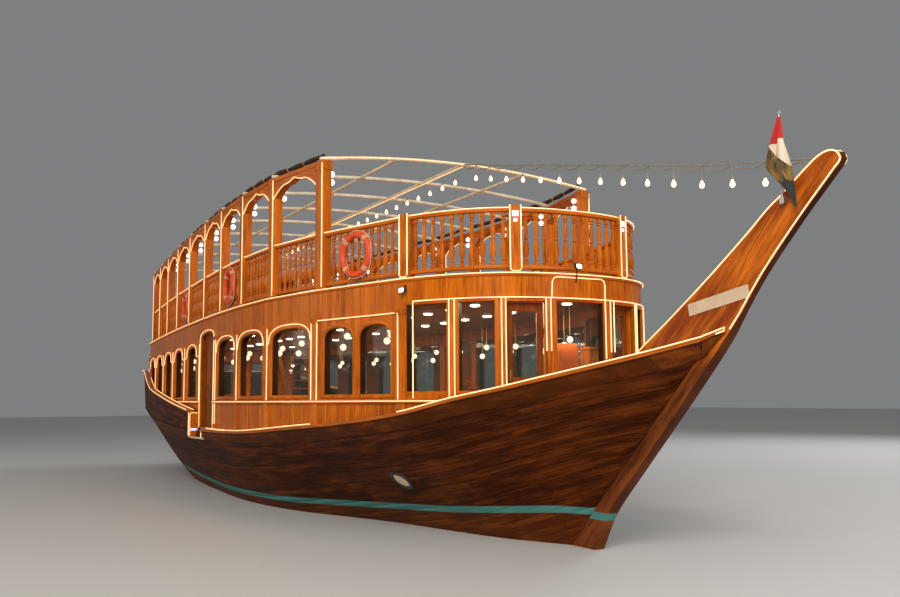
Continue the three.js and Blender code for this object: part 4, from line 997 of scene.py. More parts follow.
# %% Stem and prow
CUTWATER = np.array([
    # x, z, from the keel up the front of the stem to the top of the prow's head
    [6.0, -1.40], [6.9, -1.18], [7.6, -0.78], [8.08, -0.33], [8.29, 0.0], [8.60, 0.50], [9.18, 1.08],
    [10.19, 2.05], [10.99, 2.86], [11.48, 3.44], [12.05, 4.00], [12.53, 4.43], [12.62, 4.52],
    [12.59, 4.61], [12.51, 4.66], [12.39, 4.66], [12.24, 4.60], [11.85, 4.35],
])
PROW_SEAM = np.array([[11.80, 4.27], [11.27, 3.70], [10.70, 2.79]])
FIN_EDGE = np.array([[11.79, 4.31], [11.60, 4.20], [11.28, 3.97], [10.61, 3.52], [9.88, 3.06], [9.33, 2.70]])
TIMBER_EASE, HEAD_TIP = 0.005, 14


def eased(points, each=6):
    """A cubic between each two points, whose slope at a point is taken from its neighbours."""
    p = np.asarray(points, float)
    before, after = np.vstack([p[:1], p[:-1]]), np.vstack([p[1:], p[-1:]])
    chord = np.linalg.norm(np.diff(p, axis=0), axis=1)
    pull = (after - before) / np.maximum(np.linalg.norm(after - before, axis=1, keepdims=True), 1e-9)
    leave, reach = pull[:-1] * chord[:, None], pull[1:] * chord[:, None]
    a, b, c, d = (share[None, :, None] for share in hermite(np.arange(each) / each))
    made = a * p[:-1, None] + b * leave[:, None] + c * p[1:, None] + d * reach[:, None]
    return np.vstack([made.reshape(-1, p.shape[1]), p[-1:]])


def drawn_in(outline, by):
    """A closed outline moved to its inside by a distance, with mitred corners."""
    ahead = np.roll(outline, -1, 0) - outline
    ahead /= np.linalg.norm(ahead, axis=1, keepdims=True)
    behind = np.roll(ahead, 1, 0)
    normal = np.stack([-(ahead + behind)[:, 1], (ahead + behind)[:, 0]], 1)
    normal /= np.maximum(np.linalg.norm(normal, axis=1, keepdims=True), 1e-9)
    lean = np.clip((normal * np.stack([-ahead[:, 1], ahead[:, 0]], 1)).sum(1, keepdims=True), 0.5, 1)
    x, z = outline.T
    turn = np.sign((x * np.roll(z, -1) - np.roll(x, -1) * z).sum())
    return outline + turn * by * normal / lean


def resampled(path, count):
    """As many points of a line, evenly spaced."""
    s = girth(path)
    at = np.linspace(0, s[-1], count)
    return np.stack([np.interp(at, s, path[:, k]) for k in (0, 1)], 1)


def add_timber(piece, inner, outer, rows, steps=9):
    """Rings round a flat timber between two edges in x and z. Its sides have tone 1 and its edges 0, which
    marks painted shade.
    """
    a, b = resampled(inner, rows), resampled(outer, rows)
    long = np.linalg.norm(b - a, axis=1, keepdims=True)
    ease = np.minimum(TIMBER_EASE, long / 4) / long
    across = ease + (1 - 2 * ease) * np.linspace(0, 1, steps)
    share = np.concatenate([across, np.ones((rows, 2)), across[:, ::-1], np.zeros((rows, 2))], 1)[..., None]
    flat = np.ones(steps)
    side, tone = np.r_[-flat, -1, 1, flat, 1, -1], np.r_[flat, 0, 0, flat, 0, 0]
    x, z = np.moveaxis(a[:, None] + (b - a)[:, None] * share, -1, 0)
    points = np.stack([x, side * (prow_half(z) - TIMBER_EASE * (tone == 0)), z], -1)
    uv = np.stack([x + z, z - x], -1) / math.sqrt(2)
    piece.loop(points, uv, tone=np.tile(tone, rows), above=(z - WATER_BAND[-1, 1]).ravel())


def stem():
    """In front the cutwater; behind, the hull's lower edge, the seam with the fin and the head's back."""
    xs = np.r_[np.linspace(6.05, 10.5, 40), BOW_X]
    lower = np.stack([xs, line(LOW, xs) - GAP], 1)
    back = np.concatenate([lower, PROW_SEAM[::-1], CUTWATER[:HEAD_TIP:-1]])
    piece = Piece("stem_timber")
    add_timber(piece, back, eased(CUTWATER[:HEAD_TIP]), 110)
    piece.make(STEM, "prow_varnish", replaces=("stem_post",), crease=40)


def fin():
    xs = np.linspace(9.33, BOW_X, 12)
    base = np.stack([xs, line(TOP, xs) + 0.004], 1)
    piece = Piece("fin_timber")
    add_timber(piece, np.concatenate([base, PROW_SEAM[::-1] + [-0.001, 0.001]]), eased(FIN_EDGE)[::-1], 60)
    piece.make(STEM, "prow_varnish", replaces=("prow_fin",), crease=40)


stem()
fin()

# %% [markdown]
# The house and the upper deck share one line on the plan: straight from post to post along the
# sides, then a smooth bow across the front. A place is given by its distance along that line, how
# far it lies outside it, and its height. Boards, mouldings, rails and lights all use these three
# numbers, so flat drawings bend themselves round the boat.

# %% The line of the house
BAYS = [1.62, 1.62, 1.62, 1.62, 1.87, 1.87, 1.87, 1.87, 1.87]
POST_X = FIRST_POST_X - np.r_[0, np.cumsum(BAYS)][::-1]
CORNER_Y = 2.12
DECK_TOP, DECK_UNDER = 3.87, 3.70


def house_front(y):
    """Bows out 3.45 m: 1 minus .29 of r and .71 of its square, where r is the square of y over 2.73."""
    r = (y / 2.73) ** 2
    return FIRST_POST_X + 3.45 * (1 - 0.29 * r - 0.71 * r * r)


class Track:
    """A line on the plan. Out is to the right of the way it runs."""

    def __init__(self, points):
        self.points = points
        step = np.diff(points, axis=0)
        self.s = girth(points)
        right = np.stack([step[:, 1], -step[:, 0]], 1) / np.linalg.norm(step, axis=1, keepdims=True)
        self.right = np.vstack([right[:1], right[:-1] + right[1:], right[-1:]])
        self.right /= np.linalg.norm(self.right, axis=1, keepdims=True)
        self.length = self.s[-1]

    def at(self, s):
        """Plan point and outward direction at a distance along the line."""
        place = np.stack([np.interp(s, self.s, self.points[:, k]) for k in (0, 1)], -1)
        out = np.stack([np.interp(s, self.s, self.right[:, k]) for k in (0, 1)], -1)
        return place, out / np.linalg.norm(out, axis=-1, keepdims=True)

    def put(self, s, out, z):
        """Points at distance s along, out to the right and height z."""
        s, out, z = np.broadcast_arrays(s, out, z)
        place, way = self.at(s)
        return np.concatenate([place + way * out[..., None], z[..., None]], -1)


def house_points():
    side = np.stack([POST_X, -house_half(POST_X)], 1)
    ys = np.linspace(-CORNER_Y, CORNER_Y, 81)
    front = np.stack([house_front(ys), ys], 1)
    return np.concatenate([side, front, side[::-1] * [1, -1]])


HOUSE_LINE = Track(house_points())
LENGTH = HOUSE_LINE.length
POSTS = len(POST_X)
S_POST = HOUSE_LINE.s[:POSTS]
FRONT_Y, FRONT_S = HOUSE_LINE.points[POSTS:-POSTS, 1], HOUSE_LINE.s[POSTS:-POSTS]


def front_s(y):
    return float(np.interp(y, FRONT_Y, FRONT_S))


def side_s(x):
    """Distance along the line to a place on its starboard half, found by x."""
    half = POSTS + 41
    return float(np.interp(x, HOUSE_LINE.points[:half, 0], HOUSE_LINE.s[:half]))


def track_x(s):
    return HOUSE_LINE.at(s)[0][..., 0]


print("length of the house line", round(LENGTH, 2), "posts at", S_POST.round(2))

# %% [markdown]
# The house has arched windows between its posts, an arched door each side, two narrow arched
# lights in each corner and flat panes and doors across the bow. Each opening is a row of one list,
# for starboard, and the port ones are the same measured from the line's other end.

# %% Openings of the house
ARCH_STEPS = np.linspace(0, 1, 22)
DOOR_POST = 5
DOOR_HALF, WIDE_HALF, NARROW_HALF, LIGHT_HALF, LIGHT_AWAY = 0.637, 0.65, 0.575, 0.38, 0.44
FRONT_DOOR = (-1.17, -0.50)
FRONT_MARKS = (-2.12, -1.68, *FRONT_DOOR, 0.50)
HEIGHTS = {
    # sill and crown, and where an arched head springs
    "door": (1.515, 3.530, 3.405),
    "window": (2.15, 3.31, 3.08),
    "light": (2.15, 3.24, 3.02),
    "front_door": (1.60, 3.458),
    "pane": (2.18, 3.48),
}


class Opening:
    """A hole in the wall from s0 to s1 and sill to crown. Its head is square, or arched from the spring."""

    def __init__(self, kind, s0, s1, sill, crown, spring=None):
        self.kind, self.s0, self.s1, self.sill, self.crown, self.spring = kind, s0, s1, sill, crown, spring
        self.middle, self.half = (s0 + s1) / 2, (s1 - s0) / 2

    def curve(self):
        """Right half of the arch: a cubic with controls 30 mm under the crown and halfway in at it."""
        t, h = ARCH_STEPS, self.half
        a, b, c = (1 - t)**3, 3 * (1 - t)**2 * t, 3 * (1 - t) * t**2
        u = a * h + b * h + c * h / 2
        z = a * self.spring + b * (self.crown - 0.03) + (c + t**3) * self.crown
        return u, z

    def head(self, s):
        if self.spring is None:
            return np.full(np.shape(s), self.crown)
        u, z = self.curve()
        return np.interp(np.abs(s - self.middle), u[::-1], z[::-1])

    def outline(self):
        """From the left foot up, over the head and down to the right foot."""
        left_foot, right_foot = [self.s0, self.sill], [self.s1, self.sill]
        if self.spring is None:
            return np.array([left_foot, [self.s0, self.crown], [self.s1, self.crown], right_foot])
        u, z = self.curve()
        left = np.stack([self.middle - u, z], 1)
        right = np.stack([self.middle + u, z], 1)[::-1][1:]
        return np.concatenate([[left_foot], left, right, [right_foot]])


def opening(kind, middle, half):
    return Opening(kind, middle - half, middle + half, *HEIGHTS[kind])


def starboard_openings():
    found = []
    for i in range(POSTS - 1):
        middle = (S_POST[i] + S_POST[i + 1]) / 2
        if i == DOOR_POST:
            found.append(opening("door", middle, DOOR_HALF))
        else:
            found.append(opening("window", middle, WIDE_HALF if i > 4 else NARROW_HALF))
    corner = (S_POST[-1] + front_s(-CORNER_Y)) / 2
    for away in (-LIGHT_AWAY, LIGHT_AWAY):
        found.append(opening("light", corner + away, LIGHT_HALF))
    for marks in zip(FRONT_MARKS, FRONT_MARKS[1:]):
        kind, margin = ("front_door", 0.067) if marks == FRONT_DOOR else ("pane", 0.075)
        s0, s1 = (front_s(mark) for mark in marks)
        found.append(Opening(kind, s0 + margin, s1 - margin, *HEIGHTS[kind]))
    return found


def all_openings():
    found = starboard_openings()
    centre = found[-1]
    port = [Opening(o.kind, LENGTH - o.s1, LENGTH - o.s0, o.sill, o.crown, o.spring) for o in found[:-1]]
    return found[:-1] + [centre] + port[::-1]


OPENINGS = all_openings()
print(len(OPENINGS), "openings")

# %% [markdown]
# The walls are boarded upright, and the boards run past the deck's edge to its top in one face.
# Between two openings a stretch of boards is a plate the full height; at an opening there is one
# plate under it and one over it, cut to its head. Every board has its own tone.

# %% Boards of the house
BOARD_OUT, BOARD_IN, BOARD_SEAM = 0.050, 0.020, 0.002
FOREDECK, WELL_X = 1.60, 6.83


def board_foot(s):
    x = track_x(s)
    return np.where(x > WELL_X, FOREDECK + 0.004, line(TOP, x) + 0.03)


def board_columns():
    """Places along the wall, how deep the seam is there, and the board each belongs to."""
    count = round(LENGTH / BOARD_WIDE)
    wide = LENGTH / count
    k = np.arange(count + 1)
    s = np.concatenate([k * wide, k[:-1] * wide + 0.004, (k[:-1] + 1) * wide - 0.004])
    deep = np.concatenate([np.ones(count + 1), np.zeros(2 * count)])
    edges = [e for o in OPENINGS for e in (o.s0, o.s1)]
    arch = [o.middle + sign * u for o in OPENINGS if o.spring for u in o.curve()[0] for sign in (-1, 1)]
    well = [side_s(WELL_X)]
    well += [LENGTH - well[0], well[0] + 0.001, LENGTH - well[0] - 0.001]
    extra = np.array(edges + arch + well)
    s = np.concatenate([s, extra])
    deep = np.concatenate([deep, np.zeros(len(extra))])
    order = np.argsort(s, kind="stable")
    s, deep = s[order], deep[order]
    keep = np.r_[True, np.diff(s) > 1e-5]
    s, deep = s[keep], deep[keep]
    return s, deep, np.minimum((s / wide + 1e-6).astype(int), count - 1)


def board_tones(count):
    """Golden-ratio steps scatter the tones evenly."""
    return (np.arange(count) * 0.618034 + 0.17 * np.sin(np.arange(count) * 2.4)) % 1


def house_boards():
    s, deep, board = board_columns()
    tones = board_tones(board.max() + 1)[board]
    middle = (s[:-1] + s[1:]) / 2
    inside = np.full(len(middle), -1)
    for k, o in enumerate(OPENINGS):
        inside[(middle > o.s0) & (middle < o.s1)] = k
    starts = np.r_[0, np.nonzero(np.diff(inside))[0] + 1, len(middle)]
    piece = Piece("house_boards")

    def stretch(i, j, low, high):
        at = s[i:j + 1]
        z = np.stack([low, high])
        face = HOUSE_LINE.put(at[None, :], (BOARD_OUT - BOARD_SEAM * deep[i:j + 1])[None, :], z)
        back = HOUSE_LINE.put(at[None, :], BOARD_IN, z)
        uv = np.stack([z, np.broadcast_to(at, z.shape)], -1)
        piece.plate(face, back, uv, tone=np.tile(tones[i:j + 1], 2))

    for i, j in zip(starts, starts[1:]):
        at, foot, top = s[i:j + 1], board_foot(s[i:j + 1]), np.full(j + 1 - i, DECK_TOP)
        if inside[i] < 0:
            stretch(i, j, foot, top)
            continue
        o = OPENINGS[inside[i]]
        if o.sill > foot.max() + 0.02:
            stretch(i, j, foot, np.full(len(at), o.sill))
        stretch(i, j, o.head(at), top)
    piece.make(HOUSE, "house_varnish", crease=25)


house_boards()

# %% [markdown]
# A casing lines each opening and laps over the boards round it. Its section is a short list of
# points, each a distance from the opening's edge and a distance out, and it is carried round the
# opening's outline. The glass is far behind the boards, so a lining runs in to it, coloured near
# black as painted shade in the deep reveal.

# %% Casings, sill moulding and pilasters
CASING = np.array([
    # away from the opening's edge, out from the house line
    [0.0, 0.030], [-0.018, 0.030], [-0.018, 0.052], [-0.008, 0.064], [0.018, 0.068], [0.040, 0.062],
    [0.046, 0.045], [0.0, 0.045],
])
WINDOW_LINING = np.array([[0.0, -0.082], [-0.016, -0.082], [-0.016, 0.0295], [0.0, 0.0295]])
DOOR_CASING = np.array([
    [0.012, 0.015], [0.0, 0.015], [0.0, 0.060], [0.012, 0.070], [0.045, 0.070], [0.055, 0.060],
    [0.055, 0.045], [0.012, 0.045],
])


def moved_out(outline, by, closed):
    """An outline of s and z moved away from what it encloses, mitred. Open ends move sideways."""
    if closed:
        return drawn_in(outline, -by)
    ahead = np.diff(outline, axis=0)
    ahead /= np.linalg.norm(ahead, axis=1, keepdims=True)
    left = np.stack([-ahead[:, 1], ahead[:, 0]], 1)
    normal = np.vstack([left[:1], left[:-1] + left[1:], left[-1:]])
    normal /= np.linalg.norm(normal, axis=1, keepdims=True)
    lean = np.r_[1, (normal[1:-1] * left[1:]).sum(1), 1][:, None]
    return outline + by * normal / np.maximum(lean, 0.4)


def around(outline, section, closed):
    """Rings of the section at each point of the outline."""
    rings = []
    for away, out in section:
        s, z = moved_out(outline, away, closed).T
        rings.append(HOUSE_LINE.put(s, out, z))
    return np.stack(rings, 1)


def casings():
    piece, linings = Piece("window_casings"), Piece("window_linings")
    for k, o in enumerate(OPENINGS):
        closed = o.kind in ("window", "light", "pane")
        sections = ((piece, CASING), (linings, WINDOW_LINING)) if closed else ((piece, DOOR_CASING),)
        for into, section in sections:
            rings = around(o.outline(), section, closed)
            into.loop(rings, length_uv(rings, girth(section)), wrap=closed, tone=(k * 0.37) % 1)
    piece.make(HOUSE, "house_varnish", crease=35)
    linings.make(LINING_SHADE, "house_varnish", crease=35)


SILL_Z, PILASTER_TOP = 2.06, 3.40
PILASTER_HALF, PILASTER_OUT = 0.08, 0.074


def pilaster_places():
    """The posts, and the corners of the bowed front."""
    places = [*S_POST, front_s(-CORNER_Y)]
    return places + [LENGTH - s for s in places]


def pilasters():
    piece = Piece("pilasters")
    for k, s in enumerate(pilaster_places()):
        s = min(max(s, PILASTER_HALF), LENGTH - PILASTER_HALF)
        foot = float(board_foot(np.array([s]))[0])
        # height, growth in width, distance further out
        rows = [(foot, 1.15, 0.012), (foot + 0.12, 1.15, 0.012), (foot + 0.14, 1, 0),
                (PILASTER_TOP - 0.09, 1, 0), (PILASTER_TOP - 0.07, 1.2, 0.016), (PILASTER_TOP, 1.3, 0.022)]
        ring = rounded(2 * PILASTER_HALF, 0.06, 0.008)
        rings = np.stack([HOUSE_LINE.put(s + ring[:, 0] * wide, ring[:, 1] + PILASTER_OUT - 0.03 + more, z)
                          for z, wide, more in rows])
        piece.loop(rings, length_uv(rings, girth(ring)), tone=(k * 0.618) % 1)
    piece.make(HOUSE, "house_varnish", crease=30)


def moulding(name, stretches, z, out, ring, material, slot):
    """A bar along stretches of the house line, whose middle is at z and out."""
    piece = Piece(name)
    for s0, s1 in stretches:
        bends = HOUSE_LINE.s[(HOUSE_LINE.s > s0) & (HOUSE_LINE.s < s1)]
        s = np.unique(np.r_[np.arange(s0, s1, 0.11), s1, bends])
        rings = HOUSE_LINE.put(s[:, None], out + ring[None, :, 0], z + ring[None, :, 1])
        piece.loop(rings, length_uv(rings, girth(ring)), tone=0.35)
    piece.make(material, slot)


def clear_stretches(kinds, s0, s1, away=0.06):
    """Parts of s0 to s1 that lie between openings of these kinds."""
    marks = [s0]
    for o in OPENINGS:
        if o.kind in kinds and o.s0 > s0 and o.s1 < s1:
            marks += [o.s0 - away, o.s1 + away]
    marks.append(s1)
    return list(zip(marks[::2], marks[1::2]))


casings()
pilasters()
moulding("sill_moulding", clear_stretches(("door", "front_door"), 0.02, LENGTH - 0.02), SILL_Z, 0.066,
         rounded(0.05, 0.07, 0.016), HOUSE, "house_varnish")
moulding("deck_edge", [(0.02, LENGTH - 0.02)], 3.845, 0.058,
         rounded(0.03, 0.05, 0.012), HOUSE, "house_varnish")

# %% [markdown]
# The upper deck is open: square posts, an arch with a pointed crown between each two under a beam,
# and turned balusters between rails. A baluster is a turned profile, a short list of heights and
# radii spun in eight facets; there are over two hundred, so each stays small.

# %% Upper deck: posts, arches, rails and balusters
DECK_RAIL_IN = -0.09
POST_ALONG, POST_DEEP, ROOF_EDGE = 0.22, 0.18, 6.04
RAIL_TOP, FOOTRAIL_Z = 4.82, 3.96
SPRING, CROWN, BEAM_FOOT = 5.66, 5.925, 5.96
FRONT_RAIL = (S_POST[-1] + POST_ALONG / 2 + 0.01, LENGTH - S_POST[-1] - POST_ALONG / 2 - 0.01)
NEWEL_WIDE, NEWEL_TOP = 0.16, 4.85
NEWELS = [front_s(y) for y in (-2.12, -0.97, 0.97, 2.12)]
TURNED = np.array([
    # height, radius
    [0.00, 0.038], [0.055, 0.038], [0.062, 0.022], [0.085, 0.036], [0.108, 0.022], [0.15, 0.038],
    [0.22, 0.046], [0.30, 0.040], [0.37, 0.023], [0.395, 0.036], [0.42, 0.023], [0.49, 0.032],
    [0.58, 0.029], [0.655, 0.021], [0.675, 0.035], [0.698, 0.022], [0.708, 0.038], [0.765, 0.038],
])
HANDRAIL, FOOTRAIL = rounded(0.10, 0.06, 0.018), rounded(0.07, 0.06, 0.012)
HANDRAIL_Z, BALUSTER_Z = RAIL_TOP - 0.03, FOOTRAIL_Z + 0.025


def ogee(share):
    """The arch's lower edge: a quarter sine to .6 of the way in, then a power 1.6 up to its point."""
    a = 1 - np.abs(2 * share - 1)
    shoulder = 0.74 * np.sin(math.pi / 2 * np.minimum(1, a / 0.6))
    return SPRING + (CROWN - SPRING) * (shoulder + 0.26 * np.maximum(0, (a - 0.6) / 0.4) ** 1.6)


def add_post(piece, s, z0, z1, along, deep, tone, flare=0.012):
    """A square post with a plinth and a cap, each drawn as rows of height and growth."""
    rows = [(z0, flare), (z0 + 0.14, flare), (z0 + 0.155, 0),
            (z1 - 0.16, 0), (z1 - 0.145, flare), (z1, flare)]
    ring = rounded(along, deep, 0.012)
    corner = np.sign(ring)
    rings = np.stack([HOUSE_LINE.put(s + ring[:, 0] + corner[:, 0] * growth,
                                     DECK_RAIL_IN + ring[:, 1] + corner[:, 1] * growth, z)
                      for z, growth in rows])
    piece.loop(rings, length_uv(rings, girth(ring)), tone=tone)


def add_bar(piece, s0, s1, z, ring, tone, out=DECK_RAIL_IN):
    s = np.unique(np.r_[np.arange(s0, s1, 0.12), s1])
    rings = HOUSE_LINE.put(s[:, None], out + ring[None, :, 0], z + ring[None, :, 1])
    piece.loop(rings, length_uv(rings, girth(ring)), tone=tone)


def add_arch(piece, s0, s1, tone):
    """The board under the beam, from its ogee lower edge, with eased corners, to the beam's foot."""
    share = np.linspace(0, 1, 41)
    s, low = s0 + (s1 - s0) * share, ogee(share)
    half, ease = 0.075, 0.012
    rows = [(-half, low + ease), (-half, BEAM_FOOT + 0.01), (half, BEAM_FOOT + 0.01), (half, low + ease),
            (half - ease, low), (-half + ease, low)]
    rings = np.stack([HOUSE_LINE.put(s, DECK_RAIL_IN + out, z) for out, z in rows], 1)
    piece.loop(rings, length_uv(rings, np.array([0, 0.3, 0.45, 0.75, 0.77, 0.9])), tone=tone)


def add_turned(piece, place, foot, profile, sides=8, tone=0.5):
    """A profile of heights and radii spun about an upright line."""
    angle = np.arange(sides) * 2 * math.pi / sides
    r, z = profile[:, 1:], foot + profile[:, :1]
    rings = np.stack([place[0] + r * np.cos(angle), place[1] + r * np.sin(angle), z + 0 * angle], -1)
    piece.loop(rings, length_uv(rings, np.linspace(0, 0.15, sides)), tone=tone)


def add_balusters(piece, s0, s1, pitch=0.175):
    count = max(1, round((s1 - s0) / pitch))
    for k, s in enumerate(s0 + (s1 - s0) * (np.arange(count) + 0.5) / count):
        place, out = HOUSE_LINE.at(s)
        add_turned(piece, place + out * DECK_RAIL_IN, BALUSTER_Z, TURNED, tone=(k * 0.618) % 1)


def side_arcade(name, posts):
    """Posts, beams, arches and rails of one side, over the places of its posts along the line."""
    piece = Piece(name + "_joinery")
    for k, s in enumerate(posts):
        at_end = 0.1 * (float(s < 1) - float(s > LENGTH - 1))
        add_post(piece, s + at_end, DECK_TOP, ROOF_EDGE, POST_ALONG, POST_DEEP, (k * 0.618) % 1)
    for k, (a, b) in enumerate(zip(posts, posts[1:])):
        a, b = min(a, b) + 0.1, max(a, b) - 0.1
        add_arch(piece, a, b, (k * 0.41) % 1)
        add_bar(piece, a, b, ROOF_EDGE - 0.04, rounded(0.18, 0.08, 0.01), (k * 0.73) % 1)
        add_bar(piece, a, b, HANDRAIL_Z, HANDRAIL, (k * 0.29) % 1)
        add_bar(piece, a, b, FOOTRAIL_Z, FOOTRAIL, (k * 0.55) % 1)
        add_balusters(piece, a + 0.02, b - 0.02)
    piece.make(HOUSE, "house_varnish", replaces=(name,), crease=32)


def front_balustrade():
    piece = Piece("balustrade_front_joinery")
    marks = [FRONT_RAIL[0]] + NEWELS + [FRONT_RAIL[1]]
    for a, b in zip(marks, marks[1:]):
        add_bar(piece, a, b, HANDRAIL_Z, HANDRAIL, 0.4)
        add_bar(piece, a, b, FOOTRAIL_Z, FOOTRAIL, 0.6)
        add_balusters(piece, a + 0.09, b - 0.09, 0.165)
    for k, s in enumerate(NEWELS):
        add_post(piece, s, DECK_TOP, NEWEL_TOP, NEWEL_WIDE, NEWEL_WIDE, 0.2 + 0.2 * k, 0.01)
    piece.make(HOUSE, "house_varnish", replaces=("balustrade_front",), crease=32)


def aft_balustrade():
    """The same rails and balusters straight across the after end."""
    piece = Piece("balustrade_aft_joinery")
    x = LAST_POST_X + 0.09
    half = float(house_half(LAST_POST_X)) - 0.21
    ys = np.linspace(-half, half, 2)
    for z, ring in ((HANDRAIL_Z, HANDRAIL), (FOOTRAIL_Z, FOOTRAIL)):
        rings = np.stack([np.stack([x + ring[:, 0], np.full(len(ring), y), z + ring[:, 1]], 1) for y in ys])
        piece.loop(rings, length_uv(rings, girth(ring)), tone=0.5)
    count = round(2 * half / 0.175)
    for k, y in enumerate(-half + 2 * half * (np.arange(count) + 0.5) / count):
        add_turned(piece, (x, y), BALUSTER_Z, TURNED, tone=(k * 0.618) % 1)
    piece.make(HOUSE, "house_varnish", replaces=("balustrade_aft",), crease=32)


side_arcade("arcade_starboard", list(S_POST))
side_arcade("arcade_port", [LENGTH - s for s in S_POST])
front_balustrade()
aft_balustrade()

# %% [markdown]
# Over the open deck there is no roof, only a bare frame of painted tube: an arch over each pair of
# posts and runs of tube along it. A dark awning lies rolled up along both edges, tied every half
# metre. A roll is a tube whose radius swells between its ties, so it is modelled that way directly.

# %% Roof frame and rolled awnings
ROOF_RISE = 0.20
PURLIN_Y = (-1.3, 0.0, 1.3)
ARCH_R, PURLIN_R = 0.034, 0.030
TIE_APART, TIE_COUNT = 0.54, 28
TIE = rope_finish("awning_tie", (0.62, 0.30, 0.05))
ROOF_X = POST_X
ROOF_HALF = house_half(POST_X)


def roof_height(half, y):
    """A parabola over the half-breadth."""
    return ROOF_EDGE + ROOF_RISE * (1 - (y / half) ** 2) + ARCH_R


def roof_frame():
    piece = Piece("roof_frame_tubes")
    for x, half in zip(ROOF_X, ROOF_HALF):
        y = np.linspace(-half + 0.02, half - 0.02, 31)
        add_tube(piece, np.stack([np.full(31, x), y, roof_height(half, y)], 1), ARCH_R, 10)
    for y in PURLIN_Y:
        path = np.stack([ROOF_X, np.full(len(ROOF_X), y), roof_height(ROOF_HALF, y)], 1)
        add_tube(piece, spaced(path, 0.5), PURLIN_R, 8)
    piece.make(FRAME_PAINT, "frame_paint", replaces=("roof_frame",))


def rolled_awnings():
    """The radius swells by a half sine between its ties, with a slow ripple."""
    for side, name in ((-1, "starboard"), (1, "port")):
        xs = np.linspace(LAST_POST_X + 0.1, FIRST_POST_X - 0.1, 240)
        half = np.interp(xs, ROOF_X, ROOF_HALF)
        y = side * (half - 0.14)
        swell = np.abs(np.sin((xs - LAST_POST_X) * math.pi / TIE_APART))
        r = 0.030 + 0.014 * swell + 0.003 * np.sin(xs * 7.3 + side)
        z = roof_height(half, y) + ARCH_R + 0.030 - 0.010 * np.sin(xs * 2.3)
        roll = Piece(f"awning_roll_{name}")
        add_tube(roll, np.stack([xs, y, z], 1), r, 12)
        made = roll.make(CANVAS, "flag_cloth")
        ties = Piece(f"awning_ties_{name}")
        for x in LAST_POST_X + TIE_APART * np.arange(1, TIE_COUNT + 1):
            at = np.array([x, np.interp(x, xs, y), np.interp(x, xs, z)])
            angle = np.linspace(0, 2 * math.pi, 14)[:-1]
            ring = np.stack([np.full(13, x), at[1] + 0.036 * np.cos(angle), at[2] + 0.036 * np.sin(angle)], 1)
            add_tube(ties, ring, 0.008, 6, closed=True)
        ties.make(TIE, "flag_cloth")


roof_frame()
rolled_awnings()

# %% [markdown]
# Rope lights outline everything: the windows, the deck's edge, the rails, the arches and the prow.
# Each is a thin clear tube with small diodes in it. They are swept along the same lines as the
# woodwork they are clipped to, a few millimetres off it, and gathered into a few pieces.

# %% Rope lights
LED_R = 0.009
# How far out the lights lie round arches, on the front and on the sill moulding
ARCH_OUT, FRONT_OUT, SILL_OUT = 0.074, 0.082, 0.104
BAY_EDGES = np.r_[S_POST, LENGTH - S_POST[::-1]]


def led(piece, path):
    add_tube(piece, path, LED_R, 6)


def led_along(piece, s, out, z):
    led(piece, HOUSE_LINE.put(s, out, z))


def led_outline(piece, outline, away, out, closed):
    ring = moved_out(outline, away, closed)
    if closed:
        ring = np.vstack([ring, ring[:1]])
    s = girth(ring)
    at = np.unique(np.concatenate([s, np.arange(0, s[-1], 0.1)]))
    ring = np.stack([np.interp(at, s, ring[:, k]) for k in (0, 1)], 1)
    led(piece, HOUSE_LINE.put(ring[:, 0], out, ring[:, 1]))


def run(s0, s1, step=0.1):
    return np.linspace(s0, s1, max(2, int(abs(s1 - s0) / step)))


def upright(piece, s, out, z0, z1, steps=7):
    led(piece, HOUSE_LINE.put(np.full(steps, s), out, np.linspace(z0, z1, steps)))


FRONT_UPRIGHTS = (
    # place across the boat, lower end, upper end
    (2.015, 2.10, 3.50), (1.705, 2.10, 3.50), (1.655, 2.10, 3.50), (1.165, 2.10, 3.50), (1.115, 2.10, 3.50),
    (0.585, 2.75, 3.50), (0.515, 2.75, 3.50),
)
CORNER_HEAD_Z, FRONT_HEAD_Z, FRAME_TOP_Z = 3.36, 3.51, 3.81
CENTRE_FRAME = np.array([
    # place across the boat, height
    [-0.50, 3.50], [-0.49, 3.74], [-0.46, 3.795], [-0.41, FRAME_TOP_Z], [0.34, FRAME_TOP_Z], [0.39, 3.785],
    [0.41, 3.72], [0.41, 2.65],
])


